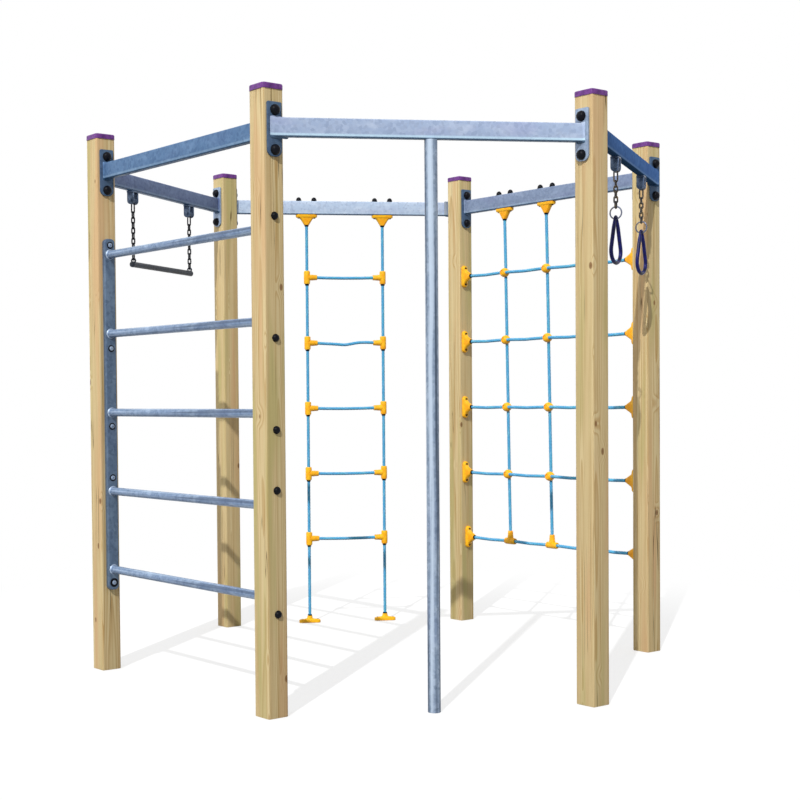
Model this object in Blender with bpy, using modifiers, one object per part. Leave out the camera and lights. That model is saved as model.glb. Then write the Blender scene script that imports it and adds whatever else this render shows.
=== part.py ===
"""Hexagonal climbing frame: six timber posts tied by six steel top beams.

Between the posts hang or stand a sliding pole, two hand loops, a rope net, a rope
ladder, a trapeze and a welded ladder. Units are metres, +Z is up, the origin is the
middle of the hexagon on the ground, and the side with the sliding pole faces -Y.
"""

import math

import bmesh
import bpy
from mathutils import Matrix, Vector

# Posts and their caps
RING_RADIUS = 1.23
POST_WIDTH = 0.090
POST_EDGE_RADIUS = 0.008
POST_TOP_Z = 2.315
CAP_SKIRT_Z = 2.300
CAP_SKIRT_HEIGHT = 0.017
CAP_EDGE = 0.004
CAP_RISE = 0.006
CAP_WALL = 0.003

# Gap left between pieces that touch
GAP = 0.0003

# Top beams: rectangular hollow section with a welded plate at each end
BEAM_WIDTH = 0.030
BEAM_HEIGHT = 0.070
BEAM_WALL = 0.003
BEAM_EDGE_RADIUS = 0.005
BEAM_MID_Z = 2.160
BEAM_UNDERSIDE_Z = BEAM_MID_Z - BEAM_HEIGHT / 2
BEAM_TOP_Z = BEAM_MID_Z + BEAM_HEIGHT / 2
PLATE_WIDTH = 0.064
PLATE_THICKNESS = 0.008
PLATE_BOTTOM_Z = 2.054
PLATE_TOP_Z = 2.252
PLATE_TOP_RADIUS = 0.006
PLATE_BOTTOM_RADIUS = 0.024
VENT_RADIUS = 0.005
VENT_FROM_END = 0.090

# Through bolts at the beams, with a domed cap at each end
BOLT_HEIGHTS = {"lower": 2.078, "upper": 2.222}
BOLT_RADIUS = 0.006
BOLT_HOLE_RADIUS = 0.0074
BOLT_CAP_RADIUS = 0.020
BOLT_CAP_HEIGHT = 0.019
DOME_SHOULDER = (0.68, 0.80)

# Sliding pole
POLE_RADIUS = 0.02415
POLE_WALL = 0.0032
POLE_SIDES = 14

# Rung heights shared by the welded ladder, the rope ladder and the net
FIRST_RUNG_Z = 0.44
RUNG_PITCH = 0.34
RUNG_COUNT = 5

# Welded ladder
STRINGER_WIDTH = 0.050
STRINGER_DEPTH = 0.025
STRINGER_EDGE = 0.005
STRINGER_END_RADIUS = 0.018
STRINGER_BOTTOM_Z = 0.352
STRINGER_TOP_Z = 1.868
RUNG_RADIUS = 0.01685
LADDER_BOLT_HEIGHTS = (0.383, 0.838, 1.060, 1.396, 1.840)
LADDER_BOLT_RADIUS = 0.005
LADDER_BOLT_HOLE_RADIUS = 0.0064
LADDER_BOLT_CAP_HEIGHT = 0.014
LADDER_BOLT_HEAD_RADIUS = 0.010
LADDER_BOLT_HEAD_HEIGHT = 0.007
LADDER_BOLT_CAP_RADIUS = 0.015

# Ropes and their moulded clamps
ROPE_RADIUS = 0.008
ROPE_BORE_RADIUS = 0.0092
NET_BORE_RADIUS = 0.0098
FLANGE_LENGTH = 0.112
FLANGE_WIDTH = 0.034
FLANGE_THICKNESS = 0.016
FLANGE_CORNER_RADIUS = 0.012
FUNNEL_LENGTH = 0.054
FUNNEL_MOUTH_RADIUS = 0.014
FUNNEL_TOP = 0.0096
FUNNEL_TOP_RADIUS = 0.0448
FUNNEL_TOP_HALF_WIDTH = 0.0150
COLLAR_RADIUS = 0.011
COLLAR_TOP = 0.030
COLLAR_BOTTOM = 0.061
ROPE_INSERT = 0.045
FLANGE_BOLT_SPACING = 0.080
FLANGE_BOLT_RADIUS = 0.005
FLANGE_BOLT_HOLE_RADIUS = 0.0063
NUT_RADIUS = 0.0145
NUT_HEIGHT = 0.020
TEE_RADIUS = 0.016
TEE_HALF_HEIGHT = 0.034
TEE_ARM_LENGTH = 0.052
TEE_ARM_RADIUS = 0.0125
TEE_CHAMFER = 0.004
BALL_RADIUS = 0.024
BALL_HALF_HEIGHT = 0.023
BALL_SHOULDER = (0.55, 0.45)

# Rope ladder
LADDER_ROPE_SPREAD = 0.200
RUNG_SAG = 0.003
KINKED_RUNG = 2
KINK = ((-0.11, 0.0025), (-0.07, 0.002), (0.0, -0.0105), (0.065, -0.0055))

# Rope net: three hanging ropes, drawn a little towards the right-hand post lower down
NET_ROPE_OFFSETS = {"left": 0.285, "middle": 0.0, "right": -0.285}
NET_DRIFT = 0.030
NET_ROW_OFFSET = 0.0175
NET_ROW_SAG = 0.003
CLAMP_STRAIGHT = 0.026

# Hangers under the beams, each with a pin parallel to the beam
TRAPEZE_SPREAD = 0.270
LOOP_SPREAD = 0.275
HANGER_LENGTH = 0.058
HANGER_DEPTH = 0.034
HANGER_PLATE = 0.006
CHEEK_GAP = 0.033
CHEEK_THICKNESS = 0.006
PIN_Z = 2.082
PIN_RADIUS = 0.005
PIN_HEAD_RADIUS = 0.008
PIN_HEAD_LENGTH = 0.004
PIN_EMBED = 0.001
BARREL_RADIUS = 0.015
BARREL_BORE_RADIUS = 0.0055
BARREL_SHOULDER = (0.85, 0.7)
BARREL_PLAY = 0.0005

# Chain
WIRE_RADIUS = 0.003
LINK_HALF_WIDTH = 0.0072
LINK_SEAT = 0.0020
EYE_TOP_Z = 2.071
EYE_BOTTOM_Z = 2.026

# Trapeze
TRAPEZE_LINKS = 9
TRAPEZE_LINK_END_Z = 1.8126
BAR_RADIUS = 0.01345
BAR_LENGTH = 0.574
BAR_PLUG = 0.004
LUG_RADIUS = 0.010
LUG_WIRE_RADIUS = 0.0035
LUG_CLEARANCE = 0.0005
BAR_EMBED = 0.006

# Hand loops
LOOP_LINKS = 5
STEEL_RING_RADIUS = 0.0245
STEEL_RING_Z = 1.9035
LOOP_TWIST = math.radians(-12)
LOOP_CROWN_RADIUS = 0.0098
LOOP_GRIP_RADIUS = 0.047
LOOP_BOTTOM_Z = 1.696
LOOP_THIN = 0.0060
LOOP_THICK = 0.0085
LOOP_TAPER_LENGTH = 0.030

# Compass angle of each post round the hexagon, in degrees from +X
POST_ANGLES = {
    "front_left": 240,
    "front_right": 300,
    "right": 0,
    "back_right": 60,
    "back_left": 120,
    "left": 180,
}

# All posts are parallel, and their faces look to 30, 120, 210 and 300 degrees
POST_TURN = math.radians(30)

# Each side: first post and the face its beam bolts to, last post and its face
SIDES = {
    "front": ("front_left", 300, "front_right", 210),
    "right_front": ("front_right", 30, "right", 300),
    "right_back": ("right", 120, "back_right", 300),
    "back": ("back_right", 120, "back_left", 30),
    "left_back": ("back_left", 210, "left", 120),
    "left_front": ("left", 300, "front_left", 120),
}

# Posts whose through bolts run along the 120 to 300 degree line
CROSSWISE_POSTS = ("front_left", "right", "back_right", "left")
LADDER_POSTS = ("front_left", "left")

# Colour, roughness and metallic value of each finish
FINISHES = {
    "timber": ((0.60, 0.43, 0.22), 0.75, 0.0),
    "cap_plastic": ((0.26, 0.13, 0.42), 0.45, 0.0),
    "galvanised_steel": ((0.45, 0.52, 0.66), 0.45, 0.8),
    "black_plastic": ((0.015, 0.015, 0.02), 0.4, 0.0),
    "rope": ((0.07, 0.34, 0.58), 0.85, 0.0),
    "hanger_steel": ((0.42, 0.46, 0.54), 0.4, 0.9),
    "chain_steel": ((0.09, 0.09, 0.11), 0.45, 0.9),
    "bar_steel": ((0.10, 0.11, 0.13), 0.5, 0.7),
    "loop_rubber": ((0.01, 0.02, 0.11), 0.5, 0.0),
}

# Turns that lay a shape drawn in XY, or a rod along Z, along another axis
THICKNESS_TO_X = Matrix(((0, 0, 1, 0), (1, 0, 0, 0), (0, 1, 0, 0), (0, 0, 0, 1)))
ROD_TO_X = Matrix.Rotation(math.pi / 2, 4, "Y")
ROD_TO_Y = Matrix.Rotation(-math.pi / 2, 4, "X")

collection = None
materials = {}


def clear_scene():
    """Remove every object, and start the collection that holds the model."""
    global collection
    for obj in list(bpy.data.objects):
        bpy.data.objects.remove(obj)
    collection = bpy.data.collections.new("hexagonal_climbing_frame")
    bpy.context.scene.collection.children.link(collection)


def make_materials():
    """Make one Principled material for each finish."""
    for name, (colour, roughness, metallic) in FINISHES.items():
        material = bpy.data.materials.new(name)
        material.use_nodes = True
        shader = material.node_tree.nodes["Principled BSDF"]
        shader.inputs["Base Color"].default_value = (*colour, 1.0)
        shader.inputs["Roughness"].default_value = roughness
        shader.inputs["Metallic"].default_value = metallic
        material.diffuse_color = (*colour, 1.0)
        materials[name] = material


def moved(x=0.0, y=0.0, z=0.0):
    """Return a translation matrix."""
    return Matrix.Translation((x, y, z))


def turned_about_z(angle):
    """Return a rotation about the vertical, in radians."""
    return Matrix.Rotation(angle, 4, "Z")


def linked(data):
    """Link a new object that holds this mesh or curve."""
    obj = bpy.data.objects.new(data.name, data)
    collection.objects.link(obj)
    return obj


def bake(obj):
    """Return a mesh object with the object's evaluated, welded shape."""
    bpy.context.view_layer.update()
    depsgraph = bpy.context.evaluated_depsgraph_get()
    mesh = bpy.data.meshes.new_from_object(obj.evaluated_get(depsgraph))
    if obj.type == "CURVE":
        bpy.data.objects.remove(obj)
        obj = linked(mesh)
    else:
        obj.modifiers.clear()
        obj.data = mesh
    return obj


def weld(obj):
    """Merge loose caps and turn every face outwards."""
    shape = bmesh.new()
    shape.from_mesh(obj.data)
    bmesh.ops.remove_doubles(shape, verts=shape.verts, dist=0.00001)
    bmesh.ops.recalc_face_normals(shape, faces=shape.faces)
    shape.to_mesh(obj.data)
    shape.free()
    return obj


def combine(target, tool, operation):
    """Apply an exact Boolean of the tool to the target, and drop the tool."""
    modifier = target.modifiers.new(operation.lower(), "BOOLEAN")
    modifier.operation = operation
    modifier.solver = "EXACT"
    modifier.object = tool
    bake(target)
    bpy.data.objects.remove(tool)
    return target


def fused(pieces):
    """Join the pieces that make up one solid."""
    pieces = list(pieces)
    solid = pieces[0]
    for piece in pieces[1:]:
        combine(solid, piece, "UNION")
    return solid


def cut(target, cutters):
    """Cut every cutter out of the target."""
    for cutter in cutters:
        combine(target, cutter, "DIFFERENCE")
    return target


def placed(obj, matrix):
    """Move the shape itself, leaving its object at the origin."""
    obj.data.transform(matrix)
    return obj


def rounded_outline(width, height, radii, steps=1):
    """Return a rounded rectangle's points; radii run from the upper right round to the left."""
    points = []
    corners = ((1, 1), (-1, 1), (-1, -1), (1, -1))
    for quarter, ((side_x, side_y), radius) in enumerate(zip(corners, radii)):
        centre_x = side_x * (width / 2 - radius)
        centre_y = side_y * (height / 2 - radius)
        for step in range(steps + 1 if radius else 1):
            angle = math.pi / 2 * (quarter + step / steps)
            points.append((centre_x + radius * math.cos(angle), centre_y + radius * math.sin(angle)))
    return points


def slab(outline, thickness, chamfer=0.0):
    """Extrude a flat outline evenly about the XY plane."""
    curve = bpy.data.curves.new("slab", "CURVE")
    curve.dimensions = "2D"
    curve.fill_mode = "BOTH"
    curve.extrude = thickness / 2 - chamfer
    curve.bevel_depth = chamfer
    curve.bevel_resolution = 0
    curve.offset = -chamfer
    spline = curve.splines.new("POLY")
    spline.points.add(len(outline) - 1)
    for point, (x, y) in zip(spline.points, outline):
        point.co = (x, y, 0.0, 1.0)
    spline.use_cyclic_u = True
    return weld(bake(linked(curve)))


def tube(points, radius, cyclic=False, factors=None, resolution=1):
    """Run a round section along the points; factors scale its radius at each point."""
    curve = bpy.data.curves.new("tube", "CURVE")
    curve.dimensions = "3D"
    curve.bevel_depth = radius
    curve.bevel_resolution = resolution
    curve.use_fill_caps = not cyclic
    spline = curve.splines.new("POLY")
    spline.points.add(len(points) - 1)
    for index, (point, place) in enumerate(zip(spline.points, points)):
        point.co = (*place, 1.0)
        point.radius = factors[index] if factors else 1.0
    spline.use_cyclic_u = cyclic
    return weld(bake(linked(curve)))


def rod(radius, length, sides=8, end_radius=None):
    """Make a closed cylinder or cone along Z, centred on the origin."""
    shape = bmesh.new()
    bmesh.ops.create_cone(
        shape,
        cap_ends=True,
        segments=sides,
        radius1=radius,
        radius2=radius if end_radius is None else end_radius,
        depth=length,
    )
    mesh = bpy.data.meshes.new("rod")
    shape.to_mesh(mesh)
    shape.free()
    return linked(mesh)


def block(size_x, size_y, size_z):
    """Make a box centred on the origin."""
    shape = bmesh.new()
    bmesh.ops.create_cube(shape, size=1.0, matrix=Matrix.Diagonal((size_x, size_y, size_z, 1.0)))
    mesh = bpy.data.meshes.new("block")
    shape.to_mesh(mesh)
    shape.free()
    return linked(mesh)


def turned(profile, steps=8, closed=False):
    """Turn a profile of (radius, height) points, top to bottom, about Z."""
    count = len(profile)
    edges = [(i, i + 1) for i in range(count - 1)]
    if closed:
        edges.append((count - 1, 0))
    mesh = bpy.data.meshes.new("turned")
    mesh.from_pydata([(radius, 0.0, height) for radius, height in profile], edges, [])
    obj = linked(mesh)
    screw = obj.modifiers.new("turn", "SCREW")
    screw.steps = steps
    screw.render_steps = steps
    screw.use_merge_vertices = True
    screw.merge_threshold = 0.00005
    return weld(bake(obj))


def finish(obj, name, finish_name, parent=None, pivot=(0.0, 0.0, 0.0)):
    """Name a finished piece, colour it, and hang it on its parent at its pivot."""
    placed(obj, moved(*pivot).inverted())
    obj.name = name
    obj.data.name = name
    obj.location = pivot
    obj.parent = parent
    obj.data.materials.clear()
    obj.data.materials.append(materials[finish_name])
    obj.data.shade_smooth()
    obj.data.set_sharp_from_angle(angle=math.radians(35))
    return obj


def empty(name, matrix, parent=None):
    """Make an empty that carries pieces in its own frame."""
    obj = bpy.data.objects.new(name, None)
    obj.empty_display_size = 0.1
    collection.objects.link(obj)
    obj.parent = parent
    obj.matrix_local = matrix
    return obj


def post_centre(post):
    """Return the post's centre on the ground."""
    angle = math.radians(POST_ANGLES[post])
    return Vector((RING_RADIUS * math.cos(angle), RING_RADIUS * math.sin(angle), 0.0))


def heading(degrees):
    """Return the horizontal unit vector at this compass angle."""
    angle = math.radians(degrees)
    return Vector((math.cos(angle), math.sin(angle), 0.0))


class Side:
    """One side of the hexagon: X runs along its beam, Y points inwards, Z is up."""

    def __init__(self, name):
        first, first_face, last, last_face = SIDES[name]
        start = post_centre(first) + heading(first_face) * POST_WIDTH / 2
        end = post_centre(last) + heading(last_face) * POST_WIDTH / 2
        along = end - start
        self.name = name
        self.length = along.length
        self.angle = math.atan2(along.y, along.x)
        self.frame = empty(
            "side_" + name,
            moved(*((start + end) / 2)) @ turned_about_z(self.angle),
        )
        self.ends = (
            (-self.length / 2, math.radians(first_face) - self.angle),
            (self.length / 2, math.radians(last_face) - self.angle),
        )

    def on_face(self, end, out):
        """Return the frame of a post's face, X out of the post, moved out by this much."""
        x, normal_angle = end
        return moved(x) @ turned_about_z(normal_angle) @ moved(out)


def make_post(name):
    """Make a timber post with rounded edges and its bolt holes, in its own turned frame."""
    frame = empty("place_" + name, moved(*post_centre(name)) @ turned_about_z(POST_TURN))
    outline = rounded_outline(POST_WIDTH, POST_WIDTH, (POST_EDGE_RADIUS,) * 4)
    post = placed(slab(outline, POST_TOP_Z), moved(z=POST_TOP_Z / 2))
    across = ROD_TO_Y if name in CROSSWISE_POSTS else ROD_TO_X
    through = POST_WIDTH * 1.2
    cut(post, (
        placed(rod(BOLT_HOLE_RADIUS, through, sides=6), moved(z=height) @ across)
        for height in BOLT_HEIGHTS.values()
    ))
    if name in LADDER_POSTS:
        cut(post, (
            placed(rod(LADDER_BOLT_HOLE_RADIUS, through, sides=6), moved(z=height) @ across)
            for height in LADDER_BOLT_HEIGHTS
        ))
    finish(post, "post_" + name, "timber", frame)
    make_cap(name, frame)
    for level, height in BOLT_HEIGHTS.items():
        bolt = placed(through_bolt(), moved(z=height) @ across)
        finish(bolt, "bolt_" + name + "_" + level, "black_plastic", frame)


def make_cap(name, frame):
    """Make the plastic cap: a skirt over the post's top under a low pyramid."""
    width = POST_WIDTH + 2 * (GAP + CAP_WALL)
    outline = rounded_outline(width, width, (POST_EDGE_RADIUS + CAP_WALL,) * 4, steps=2)
    cap = placed(slab(outline, CAP_SKIRT_HEIGHT), moved(z=CAP_SKIRT_Z + CAP_SKIRT_HEIGHT / 2))
    raise_top(cap, CAP_EDGE, 1 - 2 * CAP_EDGE / width)
    raise_top(cap, CAP_RISE, 0.12)
    inside = POST_WIDTH + 2 * GAP
    depth = POST_TOP_Z + GAP - CAP_SKIRT_Z
    hollow = slab(rounded_outline(inside, inside, (POST_EDGE_RADIUS,) * 4), 2 * depth)
    cut(cap, [placed(hollow, moved(z=CAP_SKIRT_Z))])
    finish(cap, "cap_" + name, "cap_plastic", frame)


def raise_top(obj, rise, factor):
    """Extrude the top faces upwards and draw them in."""
    shape = bmesh.new()
    shape.from_mesh(obj.data)
    highest = max(vertex.co.z for vertex in shape.verts)
    top = [face for face in shape.faces if all(highest - v.co.z < 0.00001 for v in face.verts)]
    extruded = bmesh.ops.extrude_face_region(shape, geom=top)["geom"]
    bmesh.ops.delete(shape, geom=top, context="FACES")
    raised = [item for item in extruded if isinstance(item, bmesh.types.BMVert)]
    bmesh.ops.translate(shape, verts=raised, vec=(0.0, 0.0, rise))
    bmesh.ops.scale(shape, verts=raised, vec=(factor, factor, 1.0))
    shape.to_mesh(obj.data)
    shape.free()


def dome(radius, height, base):
    """Return the half profile of a domed cap that stands on z = base, from its crown down."""
    return [
        (0.0, base + height),
        (radius * DOME_SHOULDER[0], base + height * DOME_SHOULDER[1]),
        (radius, base),
    ]


def through_bolt():
    """Make a bolt along Z that spans the post and both plates, with a cap at each end."""
    half = POST_WIDTH / 2 + PLATE_THICKNESS + 2 * GAP
    upper = dome(BOLT_CAP_RADIUS, BOLT_CAP_HEIGHT, half) + [(BOLT_RADIUS, half)]
    lower = [(radius, -height) for radius, height in reversed(upper)]
    return turned(upper + lower)


def make_beam(side, bolt_offsets=()):
    """Make a hollow beam, cut to the skew of its posts, with its two welded end plates."""
    across = (BEAM_WIDTH, BEAM_HEIGHT)
    overlong = side.length + 2 * PLATE_WIDTH
    outline = rounded_outline(*across, (BEAM_EDGE_RADIUS,) * 4)
    beam = placed(slab(outline, overlong), THICKNESS_TO_X)
    bore = block(2 * overlong, across[0] - 2 * BEAM_WALL, across[1] - 2 * BEAM_WALL)
    cut(beam, [bore])
    mid_plate = GAP + PLATE_THICKNESS / 2
    waste = 4 * PLATE_WIDTH
    for end in side.ends:
        trim = placed(block(waste, waste, waste), side.on_face(end, mid_plate - waste / 2))
        cut(beam, [trim])
        x = math.copysign(abs(end[0]) - VENT_FROM_END, end[0])
        cut(beam, [placed(rod(VENT_RADIUS, 6 * BEAM_WALL), moved(x, 0.0, -BEAM_HEIGHT / 2))])
    for x in bolt_offsets:
        cut(beam, [placed(rod(FLANGE_BOLT_HOLE_RADIUS, 2 * BEAM_HEIGHT, sides=6), moved(x))])
    placed(beam, moved(z=BEAM_MID_Z))
    plates = [placed(end_plate(), side.on_face(end, mid_plate)) for end in side.ends]
    finish(fused([beam] + plates), "beam_" + side.name, "galvanised_steel", side.frame)


def end_plate():
    """Make a beam's end plate, thickness along X, with its two bolt holes."""
    height = PLATE_TOP_Z - PLATE_BOTTOM_Z
    radii = (PLATE_TOP_RADIUS,) * 2 + (PLATE_BOTTOM_RADIUS,) * 2
    outline = rounded_outline(PLATE_WIDTH, height, radii)
    plate = placed(slab(outline, PLATE_THICKNESS), THICKNESS_TO_X)
    placed(plate, moved(z=(PLATE_TOP_Z + PLATE_BOTTOM_Z) / 2))
    return cut(plate, (
        placed(rod(BOLT_HOLE_RADIUS, 2 * PLATE_THICKNESS, sides=6), moved(z=height) @ ROD_TO_X)
        for height in BOLT_HEIGHTS.values()
    ))


def make_pole(side):
    """Make the sliding pole: a tube from the ground to the beam it is welded to."""
    length = BEAM_UNDERSIDE_Z - GAP
    pole = rod(POLE_RADIUS, length, sides=POLE_SIDES)
    cut(pole, [rod(POLE_RADIUS - POLE_WALL, 2 * length, sides=POLE_SIDES)])
    placed(pole, moved(z=length / 2))
    finish(pole, "sliding_pole", "galvanised_steel", side.frame)


def rung_heights():
    """Return the rung heights from the top down."""
    return [FIRST_RUNG_Z + RUNG_PITCH * (RUNG_COUNT - 1 - i) for i in range(RUNG_COUNT)]


def make_welded_ladder(side):
    """Make the welded ladder: two stringers bolted to their posts, and five rungs."""
    height = STRINGER_TOP_Z - STRINGER_BOTTOM_Z
    middle = (STRINGER_TOP_Z + STRINGER_BOTTOM_Z) / 2
    outline = rounded_outline(STRINGER_WIDTH, height, (STRINGER_END_RADIUS,) * 4)
    pieces = []
    for end in side.ends:
        face = side.on_face(end, GAP)
        stringer = placed(slab(outline, STRINGER_DEPTH, STRINGER_EDGE), THICKNESS_TO_X)
        pieces.append(placed(stringer, face @ moved(STRINGER_DEPTH / 2, 0.0, middle)))
        for bolt_z in LADDER_BOLT_HEIGHTS:
            pieces.append(placed(ladder_bolt(), face @ moved(z=bolt_z) @ ROD_TO_X))
    for z in rung_heights():
        rung = rod(RUNG_RADIUS, side.length - STRINGER_DEPTH, sides=10)
        pieces.append(placed(rung, moved(z=z) @ ROD_TO_X))
    finish(fused(pieces), "welded_ladder", "galvanised_steel", side.frame)


def ladder_bolt():
    """Make a bolt along Z: a button head on the stringer, a cap behind the post."""
    head = STRINGER_DEPTH
    back = -POST_WIDTH - 2 * GAP
    cap = dome(LADDER_BOLT_CAP_RADIUS, LADDER_BOLT_CAP_HEIGHT, 0.0)
    profile = [
        (0.0, head + LADDER_BOLT_HEAD_HEIGHT),
        (LADDER_BOLT_HEAD_RADIUS * 0.7, head + LADDER_BOLT_HEAD_HEIGHT * 0.7),
        (LADDER_BOLT_HEAD_RADIUS, head - 0.001),
        (LADDER_BOLT_RADIUS, head - 0.002),
        (LADDER_BOLT_RADIUS, back),
    ]
    profile += [(radius, back - height) for radius, height in reversed(cap)]
    return turned(profile, steps=6)


def flange_clamp(bolted=False):
    """Make a flange clamp whose seat is z = 0 and whose funnel holds a rope below it."""
    outline = rounded_outline(FLANGE_LENGTH, FLANGE_WIDTH, (FLANGE_CORNER_RADIUS,) * 4)
    flange = placed(slab(outline, FLANGE_THICKNESS), moved(z=-GAP - FLANGE_THICKNESS / 2))
    funnel = rod(FUNNEL_MOUTH_RADIUS, FUNNEL_LENGTH - FUNNEL_TOP, end_radius=FUNNEL_TOP_RADIUS)
    for vertex in funnel.data.vertices:
        if vertex.co.z > 0.0:
            vertex.co.y *= FUNNEL_TOP_HALF_WIDTH / FUNNEL_TOP_RADIUS
    placed(funnel, moved(z=-(FUNNEL_LENGTH + FUNNEL_TOP) / 2))
    collar = rod(COLLAR_RADIUS, COLLAR_BOTTOM - COLLAR_TOP)
    placed(collar, moved(z=-(COLLAR_BOTTOM + COLLAR_TOP) / 2))
    pieces = [flange, funnel, collar]
    if bolted:
        for x in (-FLANGE_BOLT_SPACING / 2, FLANGE_BOLT_SPACING / 2):
            nut_seat = BEAM_HEIGHT + GAP
            profile = dome(NUT_RADIUS, NUT_HEIGHT, nut_seat)
            tip = -FLANGE_THICKNESS / 2
            profile += [(FLANGE_BOLT_RADIUS, nut_seat), (FLANGE_BOLT_RADIUS, tip), (0.0, tip)]
            pieces.append(placed(turned(profile, steps=6), moved(x)))
    return fused(pieces)


def bolted_clamp_offsets(centres):
    """Return the offsets of the bolts of the top clamps at these centres."""
    half = FLANGE_BOLT_SPACING / 2
    return [x + shift for x in centres for shift in (-half, half)]


def tee_clamp():
    """Make a tee clamp: a bored barrel along Z with a tapered arm along +X."""
    bore = ROPE_BORE_RADIUS
    half = TEE_HALF_HEIGHT
    chamfer = TEE_CHAMFER
    barrel = turned([
        (bore, half),
        (TEE_RADIUS - chamfer, half),
        (TEE_RADIUS, half - chamfer),
        (TEE_RADIUS, chamfer - half),
        (TEE_RADIUS - chamfer, -half),
        (bore, -half),
    ], closed=True)
    start = bore + 0.002
    arm = rod(TEE_RADIUS * 0.95, TEE_ARM_LENGTH - start, end_radius=TEE_ARM_RADIUS)
    placed(arm, moved((TEE_ARM_LENGTH + start) / 2) @ ROD_TO_X)
    return fused([barrel, arm])


def make_rope_ladder(side):
    """Make the rope ladder: two held ropes, and five rope rungs with tee clamps."""
    for label, x in (("right", -LADDER_ROPE_SPREAD), ("left", LADDER_ROPE_SPREAD)):
        top = placed(flange_clamp(bolted=True), moved(x, 0.0, BEAM_UNDERSIDE_Z))
        foot = placed(flange_clamp(), moved(x, 0.0, -GAP) @ Matrix.Rotation(math.pi, 4, "X"))
        rope = tube([(x, 0.0, ROPE_INSERT), (x, 0.0, BEAM_UNDERSIDE_Z - ROPE_INSERT)], ROPE_RADIUS)
        finish(fused([rope, top, foot]), "rope_ladder_side_rope_" + label, "rope", side.frame)
    for number, z in enumerate(rung_heights(), start=1):
        rope = tube([(x, 0.0, z + lift) for x, lift in rung_route(number)], ROPE_RADIUS)
        right = placed(tee_clamp(), moved(-LADDER_ROPE_SPREAD, 0.0, z))
        left = placed(tee_clamp(), moved(LADDER_ROPE_SPREAD, 0.0, z) @ turned_about_z(math.pi))
        finish(fused([rope, right, left]), "rope_ladder_rung_%d" % number, "rope", side.frame)


def rung_route(number):
    """Return a rope rung's route as (x, lift) points; the second from the top is kinked."""
    reach = LADDER_ROPE_SPREAD - 0.030
    if number == KINKED_RUNG:
        return [(-reach, 0.0)] + list(KINK) + [(reach, 0.0)]
    near = -RUNG_SAG * 0.75
    return [(-reach, 0.0), (-reach / 2, near), (0.0, -RUNG_SAG), (reach / 2, near), (reach, 0.0)]


def net_rope_x(offset, z):
    """Return where a hanging net rope crosses this height."""
    top = BEAM_UNDERSIDE_Z
    return offset - NET_DRIFT * (top - z) / (top - FIRST_RUNG_Z)


def make_net(side):
    """Make the rope net: five cross ropes clamped to the posts, and three hanging ropes."""
    rows = rung_heights()
    for number, z in enumerate(rows[:-1], start=1):
        crossings = [net_rope_x(offset, z) for offset in NET_ROPE_OFFSETS.values()]
        pieces = [tube(row_route(side, crossings, z, NET_ROW_OFFSET), ROPE_RADIUS)]
        pieces += row_end_clamps(side, z, NET_ROW_OFFSET)
        for x in crossings:
            pieces.append(placed(cross_clamp(), moved(x, NET_ROW_OFFSET / 2, z)))
        row = fused(pieces)
        cut(row, (placed(rod(NET_BORE_RADIUS, 0.1, sides=6), moved(x, 0.0, z)) for x in crossings))
        finish(row, "net_cross_rope_%d" % number, "rope", side.frame)
    bottom = rows[-1]
    crossings = [net_rope_x(offset, bottom) for offset in NET_ROPE_OFFSETS.values()]
    pieces = [tube(row_route(side, crossings, bottom, 0.0), ROPE_RADIUS)]
    pieces += row_end_clamps(side, bottom, 0.0)
    finish(fused(pieces), "net_cross_rope_%d" % len(rows), "rope", side.frame)
    for label, offset in NET_ROPE_OFFSETS.items():
        make_net_hanging_rope(side, label, offset, rows)


def row_route(side, crossings, z, y):
    """Return a cross rope's route: straight in its clamps, with a slight sag between them."""
    reach = side.length / 2 - ROPE_INSERT
    stops = [-reach] + sorted(crossings) + [reach]
    route = []
    for index, x in enumerate(stops):
        if 0 < index < len(stops) - 1:
            route += [(x - CLAMP_STRAIGHT, y, z), (x + CLAMP_STRAIGHT, y, z)]
        else:
            route.append((x, y, z))
        if index < len(stops) - 1:
            route.append(((x + stops[index + 1]) / 2, y, z - NET_ROW_SAG))
    return route


def row_end_clamps(side, z, y):
    """Return the two flange clamps that hold a cross rope to the posts."""
    upright = Matrix.Rotation(math.pi / 2, 4, "Y")
    return [
        placed(flange_clamp(), moved(-side.length / 2, y, z) @ upright.inverted()),
        placed(flange_clamp(), moved(side.length / 2, y, z) @ upright),
    ]


def cross_clamp():
    """Make the ball that clamps two crossing ropes side by side."""
    return turned([
        (0.0, BALL_HALF_HEIGHT),
        (BALL_RADIUS * BALL_SHOULDER[0], BALL_HALF_HEIGHT),
        (BALL_RADIUS, BALL_HALF_HEIGHT * BALL_SHOULDER[1]),
        (BALL_RADIUS, -BALL_HALF_HEIGHT * BALL_SHOULDER[1]),
        (BALL_RADIUS * BALL_SHOULDER[0], -BALL_HALF_HEIGHT),
        (0.0, -BALL_HALF_HEIGHT),
    ])


def make_net_hanging_rope(side, label, offset, rows):
    """Make one hanging rope with its top clamp and the tee that takes the lowest row."""
    top_z = BEAM_UNDERSIDE_Z
    route = [(offset, 0.0, top_z - ROPE_INSERT), (offset, 0.0, top_z - ROPE_INSERT - CLAMP_STRAIGHT)]
    for z in rows[:-1]:
        x = net_rope_x(offset, z)
        route += [(x, 0.0, z + CLAMP_STRAIGHT), (x, 0.0, z - CLAMP_STRAIGHT)]
    bottom = rows[-1]
    x = net_rope_x(offset, bottom)
    tip = bottom + TEE_ARM_LENGTH - CLAMP_STRAIGHT
    route += [(x, 0.0, tip + 2 * CLAMP_STRAIGHT), (x, 0.0, tip)]
    tee = placed(tee_clamp(), moved(x, 0.0, bottom) @ Matrix.Rotation(-math.pi / 2, 4, "Y"))
    top = placed(flange_clamp(bolted=True), moved(offset, 0.0, top_z))
    pieces = [tube(route, ROPE_RADIUS), tee, top]
    finish(fused(pieces), "net_hanging_rope_" + label, "rope", side.frame)


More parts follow.
